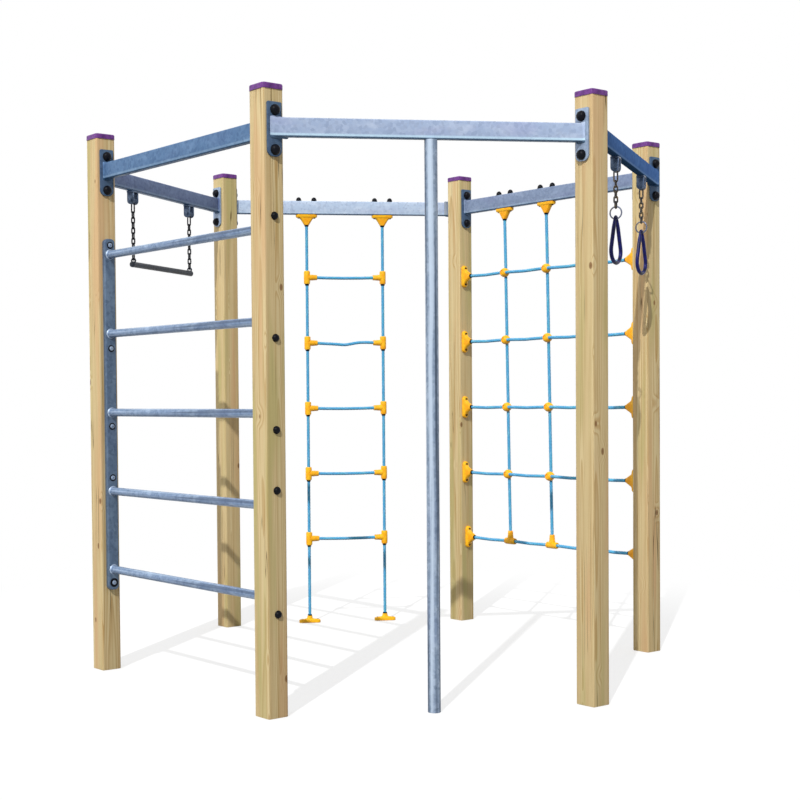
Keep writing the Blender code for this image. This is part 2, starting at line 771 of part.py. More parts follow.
def make_hanger(side, name, x):
    """Make a hanger bracket: a plate, two cheeks and the pin between them."""
    plate = block(HANGER_LENGTH, HANGER_DEPTH, HANGER_PLATE)
    placed(plate, moved(z=BEAM_UNDERSIDE_Z - GAP - HANGER_PLATE / 2))
    pieces = [plate]
    top = BEAM_UNDERSIDE_Z - GAP - HANGER_PLATE / 2
    height = top - PIN_Z + HANGER_DEPTH / 2
    round_end = HANGER_DEPTH * 0.48
    outline = rounded_outline(HANGER_DEPTH, height, (0.0, 0.0, round_end, round_end), steps=3)
    for way in (-1, 1):
        cheek = placed(slab(outline, CHEEK_THICKNESS), THICKNESS_TO_X)
        offset = way * (CHEEK_GAP + CHEEK_THICKNESS) / 2
        pieces.append(placed(cheek, moved(offset, 0.0, top - height / 2)))
    half = CHEEK_GAP / 2 + CHEEK_THICKNESS
    pin = turned([
        (0.0, half + PIN_HEAD_LENGTH),
        (PIN_HEAD_RADIUS, half + PIN_HEAD_LENGTH),
        (PIN_HEAD_RADIUS, half - PIN_EMBED),
        (PIN_RADIUS, half - PIN_EMBED),
        (PIN_RADIUS, PIN_EMBED - half),
        (PIN_HEAD_RADIUS, PIN_EMBED - half),
        (PIN_HEAD_RADIUS, -half - PIN_HEAD_LENGTH),
        (0.0, -half - PIN_HEAD_LENGTH),
    ])
    pieces.append(placed(pin, moved(z=PIN_Z) @ ROD_TO_X))
    finish(placed(fused(pieces), moved(x)), name, "hanger_steel", side.frame)


def link(top_z, bottom_z, angle):
    """Make one chain link between two crown heights, its plane turned by this angle."""
    straight = (top_z - bottom_z) / 2 - LINK_HALF_WIDTH
    middle = (top_z + bottom_z) / 2
    points = []
    for end in (1, -1):
        for step in range(4):
            turn = math.pi * step / 3
            x = end * LINK_HALF_WIDTH * math.cos(turn)
            z = end * (straight + LINK_HALF_WIDTH * math.sin(turn) / math.sin(math.pi / 3))
            points.append((x * math.cos(angle), x * math.sin(angle), middle + z))
    return tube(points, WIRE_RADIUS, cyclic=True)


def chain(count, end_z, twist):
    """Make the bearing barrel, its eye and a chain whose last crown is at end_z."""
    half = CHEEK_GAP / 2 - BARREL_PLAY
    barrel = placed(turned([
        (BARREL_BORE_RADIUS, half),
        (BARREL_RADIUS * BARREL_SHOULDER[0], half),
        (BARREL_RADIUS, half * BARREL_SHOULDER[1]),
        (BARREL_RADIUS, -half * BARREL_SHOULDER[1]),
        (BARREL_RADIUS * BARREL_SHOULDER[0], -half),
        (BARREL_BORE_RADIUS, -half),
    ], closed=True), moved(z=PIN_Z) @ ROD_TO_X)
    pieces = [barrel, link(EYE_TOP_Z, EYE_BOTTOM_Z, math.pi / 2)]
    pitch = (EYE_BOTTOM_Z - end_z) / count
    for number in range(count):
        bearing = EYE_BOTTOM_Z - pitch * number
        angle = math.pi / 2 * (number % 2) + twist * (number + 1) / count
        top_z = bearing + 2 * WIRE_RADIUS - LINK_SEAT
        pieces.append(link(top_z, bearing - pitch, angle))
    return fused(pieces)


def make_trapeze(side):
    """Make the trapeze: two hangers, two chains that swing together, and the bar."""
    swing = empty("trapeze_swing_axis", moved(z=PIN_Z), side.frame)
    for label, x in (("back", -TRAPEZE_SPREAD), ("front", TRAPEZE_SPREAD)):
        make_hanger(side, "trapeze_hanger_" + label, x)
        piece = placed(chain(TRAPEZE_LINKS, TRAPEZE_LINK_END_Z, 0.0), moved(x, 0.0, -PIN_Z))
        finish(piece, "trapeze_chain_" + label, "chain_steel", swing)
    tilt = empty("trapeze_tilt_axis", moved(z=TRAPEZE_LINK_END_Z), side.frame)
    lug_top = WIRE_RADIUS + LUG_WIRE_RADIUS + LUG_CLEARANCE
    lug_centre = lug_top - LUG_RADIUS
    bar_z = lug_centre - LUG_RADIUS - BAR_RADIUS + BAR_EMBED
    pieces = [placed(trapeze_bar(), moved(z=bar_z))]
    for x in (-TRAPEZE_SPREAD, TRAPEZE_SPREAD):
        pieces.append(placed(lug(), moved(x, 0.0, lug_centre)))
    finish(fused(pieces), "trapeze_bar", "bar_steel", tilt)


def trapeze_bar():
    """Make the bar along X with rounded end plugs."""
    half = BAR_LENGTH / 2
    return placed(turned([
        (0.0, half),
        (BAR_RADIUS - BAR_PLUG, half),
        (BAR_RADIUS, half - BAR_PLUG),
        (BAR_RADIUS, BAR_PLUG - half),
        (BAR_RADIUS - BAR_PLUG, -half),
        (0.0, -half),
    ], steps=10), ROD_TO_X)


def lug():
    """Make the eye on the bar that takes the chain's last link, open along X."""
    count = 8
    points = []
    for step in range(count):
        turn = 2 * math.pi * step / count
        points.append((0.0, LUG_RADIUS * math.sin(turn), LUG_RADIUS * math.cos(turn)))
    return tube(points, LUG_WIRE_RADIUS, cyclic=True)


def make_hand_loop(side, number, x):
    """Make one hand loop with its hanger, its chain and the steel ring between them."""
    name = "hand_loop_%d" % number
    make_hanger(side, name + "_hanger", x)
    swing = empty(name + "_swing_axis", moved(x, 0.0, PIN_Z), side.frame)
    ring_top = STEEL_RING_Z + STEEL_RING_RADIUS
    last_crown = ring_top - 2 * WIRE_RADIUS - LUG_CLEARANCE
    piece = placed(chain(LOOP_LINKS, last_crown, LOOP_TWIST), moved(z=-PIN_Z))
    finish(piece, name + "_chain", "chain_steel", swing)
    ring = placed(steel_ring(), turned_about_z(LOOP_TWIST) @ moved(z=STEEL_RING_Z - PIN_Z))
    finish(ring, name + "_steel_ring", "hanger_steel", swing)
    ring_bottom = STEEL_RING_Z - STEEL_RING_RADIUS
    tilt = empty(name + "_tilt_axis", moved(x, 0.0, ring_bottom) @ turned_about_z(LOOP_TWIST), side.frame)
    grip = placed(hand_loop(), moved(z=-ring_bottom))
    finish(grip, name + "_grip", "loop_rubber", tilt)


def steel_ring():
    """Make the round steel ring, in the YZ plane."""
    count = 12
    points = []
    for step in range(count):
        turn = 2 * math.pi * step / count
        points.append((0.0, STEEL_RING_RADIUS * math.sin(turn), STEEL_RING_RADIUS * math.cos(turn)))
    return tube(points, WIRE_RADIUS, cyclic=True)


def hand_loop():
    """Make the teardrop grip in the XZ plane: thin over the ring, thick where it is held."""
    ring_bottom = STEEL_RING_Z - STEEL_RING_RADIUS
    crown_inside = ring_bottom + WIRE_RADIUS + LUG_CLEARANCE
    crown_z = crown_inside + LOOP_THIN - LOOP_CROWN_RADIUS
    grip_z = LOOP_BOTTOM_Z + LOOP_THICK + LOOP_GRIP_RADIUS
    lean = math.asin((LOOP_GRIP_RADIUS - LOOP_CROWN_RADIUS) / (crown_z - grip_z))
    points = []
    factors = []
    for step in range(5):
        turn = lean + (math.pi - 2 * lean) * step / 4
        points.append((LOOP_CROWN_RADIUS * math.cos(turn), 0.0, crown_z + LOOP_CROWN_RADIUS * math.sin(turn)))
        factors.append(LOOP_THIN / LOOP_THICK)
    along_leg = Vector((-math.sin(lean), 0.0, -math.cos(lean))) * LOOP_TAPER_LENGTH
    points.append(tuple(Vector(points[-1]) + along_leg))
    factors.append(1.0)
    for step in range(11):
        turn = math.pi - lean + (math.pi + 2 * lean) * step / 10
        points.append((LOOP_GRIP_RADIUS * math.cos(turn), 0.0, grip_z + LOOP_GRIP_RADIUS * math.sin(turn)))
        factors.append(1.0)
    along_leg.x = -along_leg.x
    points.append(tuple(Vector(points[0]) + along_leg))
    factors.append(1.0)
    return tube(points, LOOP_THICK, cyclic=True, factors=factors, resolution=2)


def main():
    """Build the whole frame."""
    clear_scene()
    make_materials()
    for name in POST_ANGLES:
        make_post(name)
    sides = {name: Side(name) for name in SIDES}
    bolts = {
        "back": bolted_clamp_offsets((-LADDER_ROPE_SPREAD, LADDER_ROPE_SPREAD)),
        "right_back": bolted_clamp_offsets(NET_ROPE_OFFSETS.values()),
    }
    for name, side in sides.items():
        make_beam(side, bolts.get(name, ()))
    make_pole(sides["front"])
    make_hand_loop(sides["right_front"], 1, -LOOP_SPREAD)
    make_hand_loop(sides["right_front"], 2, LOOP_SPREAD)
    make_net(sides["right_back"])
    make_rope_ladder(sides["back"])
    make_trapeze(sides["left_back"])
    make_welded_ladder(sides["left_front"])
    bpy.context.view_layer.update()


main()
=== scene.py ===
"""Looks of the hexagonal climbing frame, in metres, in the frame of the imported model.

Six timber posts with plastic caps carry six galvanised top beams. Between them are a
sliding pole, two hand loops, a rope net, a rope ladder, a trapeze and a welded ladder.
Each sub-assembly is a class that builds its meshes in its side's own frame, places them,
and dresses them through the Fitter.
"""

import logging
import math
from dataclasses import dataclass, field, replace
from enum import Enum, auto
from typing import Any, Callable, Iterable, Sequence, Union

import bmesh
import bpy
from mathutils import Matrix, Vector


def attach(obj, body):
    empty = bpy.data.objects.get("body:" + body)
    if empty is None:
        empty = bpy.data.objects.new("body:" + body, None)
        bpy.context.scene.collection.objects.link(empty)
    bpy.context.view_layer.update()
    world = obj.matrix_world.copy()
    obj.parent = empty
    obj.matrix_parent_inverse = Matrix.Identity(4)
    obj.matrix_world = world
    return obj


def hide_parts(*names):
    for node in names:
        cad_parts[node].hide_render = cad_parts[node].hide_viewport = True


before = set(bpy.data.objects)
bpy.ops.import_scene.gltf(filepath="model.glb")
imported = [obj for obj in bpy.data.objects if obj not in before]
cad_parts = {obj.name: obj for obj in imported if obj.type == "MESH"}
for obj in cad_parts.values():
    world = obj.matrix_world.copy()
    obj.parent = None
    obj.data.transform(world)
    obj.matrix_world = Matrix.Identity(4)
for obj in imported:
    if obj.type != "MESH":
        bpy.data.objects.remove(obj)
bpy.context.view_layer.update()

LOG = logging.getLogger("climbing_frame")
POST_WIDTH = 0.090
RING_RADIUS = 1.23
GAP = 0.0003
BEAM_UNDERSIDE_Z = 2.125
BEAM_TOP_Z = 2.195
RUNG_HEIGHTS = (1.80, 1.46, 1.12, 0.78, 0.44)

# How near a point has to be to a height to be picked there
NEAR = 0.0001
SAME = 0.00001

# Turns that lay a shape drawn up the Z axis along another one
ALONG_X = Matrix.Rotation(math.pi / 2, 4, "Y")
ALONG_Y = Matrix.Rotation(-math.pi / 2, 4, "X")
UPRIGHT = ALONG_X.inverted()
UPSIDE_DOWN = Matrix.Rotation(math.pi, 4, "X")

Piece = bpy.types.Object
Triple = Sequence[float]
Ring = tuple[float, ...]
Colour = tuple[float, float, float, float]
Section = Callable[[float, int], float]
Operand = Union["Value", float]


def srgb(red: int, green: int, blue: int) -> Colour:
    """Turn a screen colour into the linear colour that sockets take.

    Args:
        red: Red from 0 to 255.
        green: Green from 0 to 255.
        blue: Blue from 0 to 255.

    Returns:
        The linear colour, with full alpha.
    """
    shares = [channel / 255 for channel in (red, green, blue)]
    linear = [s / 12.92 if s <= 0.04045 else ((s + 0.055) / 1.055) ** 2.4 for s in shares]
    return (linear[0], linear[1], linear[2], 1.0)


def moved(x: float = 0.0, y: float = 0.0, z: float = 0.0) -> Matrix:
    """Return a shift."""
    return Matrix.Translation((x, y, z))


def turned(degrees: float) -> Matrix:
    """Return a turn about the vertical."""
    return Matrix.Rotation(math.radians(degrees), 4, "Z")


def heading(degrees: float) -> Vector:
    """Return the level unit vector at this compass angle."""
    return Vector((math.cos(math.radians(degrees)), math.sin(math.radians(degrees)), 0.0))


def lifted(by: float, *rings: Ring) -> list[Ring]:
    """Return a profile's rings, raised by this much."""
    return [(by + ring[0],) + ring[1:] for ring in rings]


def flipped(rings: Sequence[Ring]) -> list[Ring]:
    """Return a profile's rings, upside down."""
    return [(-ring[0],) + ring[1:] for ring in rings]


def mirrored(*lower: Ring) -> list[Ring]:
    """Return a profile whose upper half mirrors these rings, the lower half."""
    return list(lower) + [ring for ring in flipped(lower[::-1]) if ring[0] > 0.0]


class Slot(Enum):
    """The material slots of the record."""

    TIMBER = "timber"
    CAP = "cap_plastic"
    BLACK = "black_plastic"
    GALVANISED = "galvanised_steel"
    ROPE = "rope"
    CLAMP = "clamp_plastic"
    HANGER = "hanger_steel"
    CHAIN = "chain_steel"
    BAR = "bar_steel"
    LOOP = "loop_rubber"


class Post(Enum):
    """Each post, with its angle round the hexagon in degrees from +X."""

    FRONT_LEFT = 240
    FRONT_RIGHT = 300
    RIGHT = 0
    BACK_RIGHT = 60
    BACK_LEFT = 120
    LEFT = 180

    @property
    def label(self) -> str:
        """Return the post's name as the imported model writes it."""
        return self.name.lower()

    @property
    def centre(self) -> Vector:
        """Return the post's middle on the ground."""
        return heading(self.value) * RING_RADIUS

    @property
    def place(self) -> Matrix:
        """Return the post's own frame: all posts are turned alike."""
        return moved(*self.centre) @ turned(30)

    @property
    def bolt_turn(self) -> Matrix:
        """Return the turn that lays a bolt through the two faces that carry beams."""
        return ALONG_X if self in (Post.FRONT_RIGHT, Post.BACK_LEFT) else ALONG_Y


class Plan(Enum):
    """Each side: its first post and the face it starts at, its last post and face."""

    FRONT = (Post.FRONT_LEFT, 300, Post.FRONT_RIGHT, 210)
    RIGHT_FRONT = (Post.FRONT_RIGHT, 30, Post.RIGHT, 300)
    RIGHT_BACK = (Post.RIGHT, 120, Post.BACK_RIGHT, 300)
    BACK = (Post.BACK_RIGHT, 120, Post.BACK_LEFT, 30)
    LEFT_BACK = (Post.BACK_LEFT, 210, Post.LEFT, 120)
    LEFT_FRONT = (Post.LEFT, 300, Post.FRONT_LEFT, 120)


class Side:
    """One side's frame: X lies along its beam, Y points inwards and Z is up."""

    def __init__(self, plan: Plan) -> None:
        """Work out the frame.

        Args:
            plan: The posts and faces that the side runs between.
        """
        first, first_face, last, last_face = plan.value
        start = first.centre + heading(first_face) * POST_WIDTH / 2
        end = last.centre + heading(last_face) * POST_WIDTH / 2
        along = end - start
        angle = math.degrees(math.atan2(along.y, along.x))
        self.label = plan.name.lower()
        self.length = along.length
        self.place = moved(*((start + end) / 2)) @ turned(angle)
        self.faces = (first_face, last_face)
        self.skews = (first_face - angle, last_face - angle)

    def at_end(self, end: int, out: float) -> Matrix:
        """Return the frame of a post's face, with X out of the post.

        Args:
            end: 0 for the first post, 1 for the last.
            out: Distance from the face.

        Returns:
            The face's frame within this side's frame.
        """
        x = self.length / 2 if end else -self.length / 2
        return moved(x) @ turned(self.skews[end]) @ moved(out)


class Shaping:
    """Edit mode on one piece: each move returns the edit, so that the next can follow it."""

    def __init__(self, piece: Piece) -> None:
        """Take the piece.

        Args:
            piece: The mesh to shape.
        """
        self.piece = piece

    def __enter__(self) -> "Shaping":
        """Enter edit mode with nothing picked.

        Returns:
            This edit.
        """
        Bench.take(self.piece)
        bpy.ops.object.mode_set(mode="EDIT")
        bpy.ops.mesh.select_all(action="DESELECT")
        return self

    def __exit__(self, *reason: Any) -> None:
        """Go back to object mode."""
        bpy.ops.object.mode_set(mode="OBJECT")

    def _pick(self, mode: str, parts: str, test: Callable[[Any], bool]) -> "Shaping":
        """Pick some parts of the mesh, and nothing else.

        Args:
            mode: The kind of part, as the operator calls it.
            parts: The same kind, as the mesh calls it.
            test: Whether a part is picked.

        Returns:
            This edit.
        """
        bpy.ops.mesh.select_mode(type=mode)
        bpy.ops.mesh.select_all(action="DESELECT")
        shape = bmesh.from_edit_mesh(self.piece.data)
        for part in [part for part in getattr(shape, parts) if test(part)]:
            part.select_set(True)
        shape.select_flush_mode()
        bmesh.update_edit_mesh(self.piece.data)
        return self

    def faces(self, test: Callable[[Vector, Vector], bool]) -> "Shaping":
        """Pick the faces whose middle and normal pass the test."""
        return self._pick("FACE", "faces", lambda face: test(face.calc_center_median(), face.normal))

    def edges(self, test: Callable[[Vector, Vector], bool]) -> "Shaping":
        """Pick the edges whose two ends pass the test."""
        return self._pick("EDGE", "edges", lambda edge: test(edge.verts[0].co, edge.verts[1].co))

    def points(self, test: Callable[[Vector], bool]) -> "Shaping":
        """Pick the points that pass the test."""
        return self._pick("VERT", "verts", lambda point: test(point.co))

    def everything(self) -> "Shaping":
        """Pick the whole mesh."""
        bpy.ops.mesh.select_all(action="SELECT")
        return self

    def extrude(self, by: Triple) -> "Shaping":
        """Extrude what is picked by this step."""
        bpy.ops.mesh.extrude_region_move(TRANSFORM_OT_translate={"value": tuple(by)})
        return self

    def shift(self, by: Triple) -> "Shaping":
        """Move what is picked."""
        bpy.ops.transform.translate(value=tuple(by))
        return self

    def grow(self, factors: Triple, about: Triple = (0.0, 0.0, 0.0)) -> "Shaping":
        """Scale what is picked about a point."""
        bpy.ops.transform.resize(value=tuple(factors), center_override=tuple(about))
        return self

    def bevel(self, width: float, segments: int) -> "Shaping":
        """Round the picked edges."""
        bpy.ops.mesh.bevel(offset=width, segments=segments, affect="EDGES")
        return self

    def inset(self, width: float) -> "Shaping":
        """Inset the picked faces."""
        bpy.ops.mesh.inset(thickness=width)
        return self

    def slice(self, place: Triple, normal: Triple, drop_outer: bool = False) -> "Shaping":
        """Cut the whole mesh with a plane.

        Args:
            place: A point of the plane.
            normal: The plane's normal.
            drop_outer: Whether what lies on the normal's side goes, with the cut closed.

        Returns:
            This edit.
        """
        self.everything()
        bpy.ops.mesh.bisect(
            plane_co=tuple(place),
            plane_no=tuple(normal),
            use_fill=drop_outer,
            clear_outer=drop_outer,
        )
        return self

    def clean(self) -> "Shaping":
        """Merge doubles and turn every face outwards.

        Returns:
            This edit.
        """
        self.everything()
        bpy.ops.mesh.remove_doubles(threshold=SAME)
        bpy.ops.mesh.normals_make_consistent(inside=False)
        return self


class Bench:
    """The modelling bench: Blender's own operators, each on a clean selection."""

    @staticmethod
    def take(*pieces: Piece) -> None:
        """Select these pieces alone.

        Args:
            *pieces: The pieces, the active one first.
        """
        bpy.ops.object.select_all(action="DESELECT")
        for piece in pieces:
            piece.select_set(True)
        bpy.context.view_layer.objects.active = pieces[0]

    @staticmethod
    def newest() -> Piece:
        """Return what the last operator added."""
        return bpy.context.view_layer.objects.active

    @classmethod
    def settled(cls, piece: Piece | None = None) -> Piece:
        """Write a piece's place into its mesh.

        Args:
            piece: The piece, or None for the newest one.

        Returns:
            The piece, with its object at the origin.
        """
        piece = piece or cls.newest()
        cls.take(piece)
        bpy.ops.object.transform_apply(location=True, rotation=True, scale=True)
        return piece

    @classmethod
    def placed(cls, piece: Piece, place: Matrix) -> Piece:
        """Put a piece in place, leaving its object at the origin."""
        piece.matrix_world = place
        return cls.settled(piece)

    @classmethod
    def copied(cls, pattern: Piece, place: Matrix = Matrix()) -> Piece:
        """Copy a pattern with its own mesh.

        Args:
            pattern: The pattern, which stays.
            place: Where the copy goes.

        Returns:
            The copy.
        """
        cls.take(pattern)
        bpy.ops.object.duplicate(linked=False)
        return cls.placed(cls.newest(), place)

    @classmethod
    def joined(cls, pieces: Iterable[Piece]) -> Piece:
        """Join pieces into the first of them.

        Args:
            pieces: The pieces.

        Returns:
            The joined piece.
        """
        pieces = list(pieces)
        if len(pieces) > 1:
            cls.take(*pieces)
            bpy.ops.object.join()
        return pieces[0]

    @classmethod
    def discard(cls, *pieces: Piece) -> None:
        """Delete patterns that have been copied."""
        cls.take(*pieces)
        bpy.ops.object.delete()

    @classmethod
    def repeated(cls, pattern: Piece, places: Iterable[Matrix]) -> Piece:
        """Copy a pattern to each place and delete it.

        Args:
            pattern: The pattern.
            places: Where the copies go.

        Returns:
            The copies as one piece.
        """
        copies = [cls.copied(pattern, place) for place in places]
        cls.discard(pattern)
        return cls.joined(copies)

    @classmethod
    def modified(cls, piece: Piece, kind: str, **settings: Any) -> Piece:
        """Add a modifier, set it and apply it.

        Args:
            piece: The mesh.
            kind: The modifier's type.
            **settings: The modifier's own settings.

        Returns:
            The same piece.
        """
        cls.take(piece)
        bpy.ops.object.modifier_add(type=kind)
        modifier = piece.modifiers[-1]
        for name, value in settings.items():
            setattr(modifier, name, value)
        bpy.ops.object.modifier_apply(modifier=modifier.name)
        return piece

    @classmethod
    def eased(cls, piece: Piece, width: float, segments: int = 2) -> Piece:
        """Round every sharp edge of a piece a little."""
        settings = {"width": width, "segments": segments, "angle_limit": math.radians(40)}
        return cls.modified(piece, "BEVEL", limit_method="ANGLE", **settings)

    @classmethod
    def box(cls, size: Triple, at: Triple = (0.0, 0.0, 0.0)) -> Piece:
        """Add a block of this size, centred on a point."""
        bpy.ops.mesh.primitive_cube_add(size=1.0, location=tuple(at), scale=tuple(size))
        return cls.settled()

    @classmethod
    def drawn(cls, rings: Sequence[Ring], vertices: int = 24) -> Piece:
        """Draw a closed shape up the Z axis from one ring to the next.

        Args:
            rings: The height, radius and, where it isn't 0, half the straight length along X.
            vertices: Points round each ring.

        Returns:
            The closed piece.
        """
        steps = [(ring[0], ring[1], ring[2] if len(ring) > 2 else 0.0) for ring in rings]
        height, radius, straight = steps[0]
        bpy.ops.mesh.primitive_circle_add(
            vertices=vertices,
            radius=radius,
            fill_type="NGON",
            location=(0.0, 0.0, height),
            rotation=(0.0, 0.0, math.pi / vertices),
        )
        piece = cls.settled()
        with Shaping(piece) as shape:
            if straight:
                cls._spread(shape, height, straight)
            shape.everything()
            for next_height, next_radius, next_straight in steps[1:]:
                shape.extrude((0.0, 0.0, next_height - height))
                factor = next_radius / radius
                shape.grow((factor, factor, 1.0), (0.0, 0.0, next_height))
                change = next_straight - straight * factor
                height, radius, straight = next_height, next_radius, next_straight
                if abs(change) > SAME:
                    cls._spread(shape, height, change)
                    shape.faces(lambda middle, normal: abs(middle.z - height) < SAME)
            shape.clean()
        return piece

    @staticmethod
    def _spread(shape: Shaping, height: float, change: float) -> None:
        """Draw the two halves of a ring apart along X.

        Args:
            shape: The edit.
            height: The ring's height.
            change: How far each half moves.
        """
        for way in (1, -1):
            shape.points(lambda p: abs(p.z - height) < SAME and p.x * way > SAME)
            shape.shift((way * change, 0.0, 0.0))

    @classmethod
    def link(cls, radius: float, wire: float, straight: float = 0.0) -> Piece:
        """Bend a welded wire link in the XZ plane, centred on the origin.

        Args:
            radius: Radius of the bends, at the wire's centreline.
            wire: Radius of the wire.
            straight: Half the length of the straight parts.

        Returns:
            The link, with the bead of its butt weld.
        """
        bpy.ops.mesh.primitive_torus_add(
            major_radius=radius,
            minor_radius=wire,
            major_segments=28,
            minor_segments=12,
            rotation=(math.pi / 2, 0.0, 0.0),
        )
        piece = cls.settled()
        bead_end, bead_swell = wire * 0.7, 1.18
        with Shaping(piece) as shape:
            for way in (1, -1):
                shape.points(lambda p: p.z * way > NEAR)
                shape.shift((0.0, 0.0, way * straight))
            for height in (bead_end, -bead_end):
                shape.slice((0.0, 0.0, height), (0.0, 0.0, 1.0))
            shape.points(lambda p: abs(p.z) < wire * 0.5 and p.x > 0.0)
            shape.grow((bead_swell, bead_swell, 1.0), (radius, 0.0, 0.0))
        return piece


def swept(
    line: Sequence[Vector],
    section: Section,
    sides: int,
    lay: float = 0.0,
    closed: bool = False,
) -> Piece:
    """Carry a round section along a line in the XZ plane, as rope and moulded loops are made.

    Args:
        line: Points of the centreline.
        section: Radius at an angle round the section and a point's number.
        sides: Points round the section.
        lay: Length of one full turn of the section, or 0 for none.
        closed: Whether the line is a loop.

    Returns:
        A closed mesh, with its angle and length on its UV map.
    """
    across = Vector((0.0, 1.0, 0.0))
    count = len(line)
    points: list[Vector] = []
    lengths = [0.0]
    for index in range(count):
        before = line[index - 1] if index or closed else line[0]
        after = line[(index + 1) % count] if index < count - 1 or closed else line[-1]
        beside = (after - before).normalized().cross(across)
        twist = 2 * math.pi * lengths[-1] / lay if lay else 0.0
        for side in range(sides):
            angle = 2 * math.pi * side / sides
            spoke = across * math.cos(angle + twist) + beside * math.sin(angle + twist)
            points.append(line[index] + spoke * section(angle, index))
        lengths.append(lengths[-1] + (line[(index + 1) % count] - line[index]).length)
    faces: list[tuple[int, ...]] = []
    marks: list[tuple[float, float]] = []
    for index in range(count if closed else count - 1):
        here = index * sides
        there = (index + 1) % count * sides
        start, end = lengths[index], lengths[index + 1]
        for side in range(sides):
            beyond = (side + 1) % sides
            faces.append((here + side, here + beyond, there + beyond, there + side))
            low, high = side / sides, (side + 1) / sides
            marks += [(low, start), (high, start), (high, end), (low, end)]
    if not closed:
        faces.append(tuple(reversed(range(sides))))
        faces.append(tuple(range((count - 1) * sides, count * sides)))
        marks += [(0.0, 0.0)] * (2 * sides)
    mesh = bpy.data.meshes.new("swept")
    mesh.from_pydata(points, [], faces)
    layer = mesh.uv_layers.new(name="UVMap")
    layer.data.foreach_set("uv", [number for mark in marks for number in mark])
    piece = bpy.data.objects.new("swept", mesh)
    bpy.context.scene.collection.objects.link(piece)
    return piece


def evenly(points: Sequence[Triple], step: float, rounds: int = 0) -> list[Vector]:
    """Space points evenly along a bent line, and round its bends.

    Args:
        points: The line's corners.
        step: Distance between the points returned.
        rounds: How often each point is drawn to the middle of its neighbours.

    Returns:
        The spaced points, with both ends kept.
    """
    corners = [Vector(point) for point in points]
    line = [corners[0]]
    for start, end in zip(corners, corners[1:]):
        count = max(1, round((end - start).length / step))
        line += [start.lerp(end, number / count) for number in range(1, count + 1)]
    for _ in range(rounds):
        inner = [(a + b * 2 + c) / 4 for a, b, c in zip(line, line[1:], line[2:])]
        line = [line[0]] + inner + [line[-1]]
    return line


class Value:
    """A number that varies over a surface: arithmetic on it adds Math nodes."""

    def __init__(self, recipe: "Recipe", socket: bpy.types.NodeSocket) -> None:
        """Wrap a socket.

        Args:
            recipe: The recipe that the socket belongs to.
            socket: An output socket.
        """
        self.recipe = recipe
        self.socket = socket

    def _math(self, operation: str, *operands: Operand) -> "Value":
        """Add a Math node on these operands."""
        settings = {"operation": operation}
        return self.recipe.node("ShaderNodeMath", settings, dict(enumerate(operands)))

    def __add__(self, other: Operand) -> "Value":
        """Add."""
        return self._math("ADD", self, other)

    def __sub__(self, other: Operand) -> "Value":
        """Take away."""
        return self._math("SUBTRACT", self, other)

    def __rsub__(self, other: Operand) -> "Value":
        """Take this away from a number."""
        return self._math("SUBTRACT", other, self)

    def __mul__(self, other: Operand) -> "Value":
        """Multiply."""
        return self._math("MULTIPLY", self, other)

    def __truediv__(self, other: Operand) -> "Value":
        """Divide."""
        return self._math("DIVIDE", self, other)

    def __pow__(self, other: Operand) -> "Value":
        """Raise to a power."""
        return self._math("POWER", self, other)

    __radd__ = __add__
    __rmul__ = __mul__

    def size(self) -> "Value":
        """Drop the sign."""
        return self._math("ABSOLUTE", self)

    def part(self) -> "Value":
        """Keep the part after the decimal point."""
        return self._math("FRACT", self)

    def wave(self) -> "Value":
        """Take the sine."""
        return self._math("SINE", self)

    def most(self, other: Operand) -> "Value":
        """Take the larger of the two."""
        return self._math("MAXIMUM", self, other)

    def between(self, low: float, high: float) -> "Value":
        """Rise smoothly from 0 to 1, or fall where low is the larger.

        Args:
            low: Where the result is 0.
            high: Where the result is 1.

        Returns:
            The share from 0 to 1.
        """
        inputs = {"Value": self, "From Min": low, "From Max": high}
        if low > high:
            inputs.update({"From Min": high, "From Max": low, "To Min": 1.0, "To Max": 0.0})
        return self.recipe.node("ShaderNodeMapRange", {"interpolation_type": "SMOOTHSTEP"}, inputs)


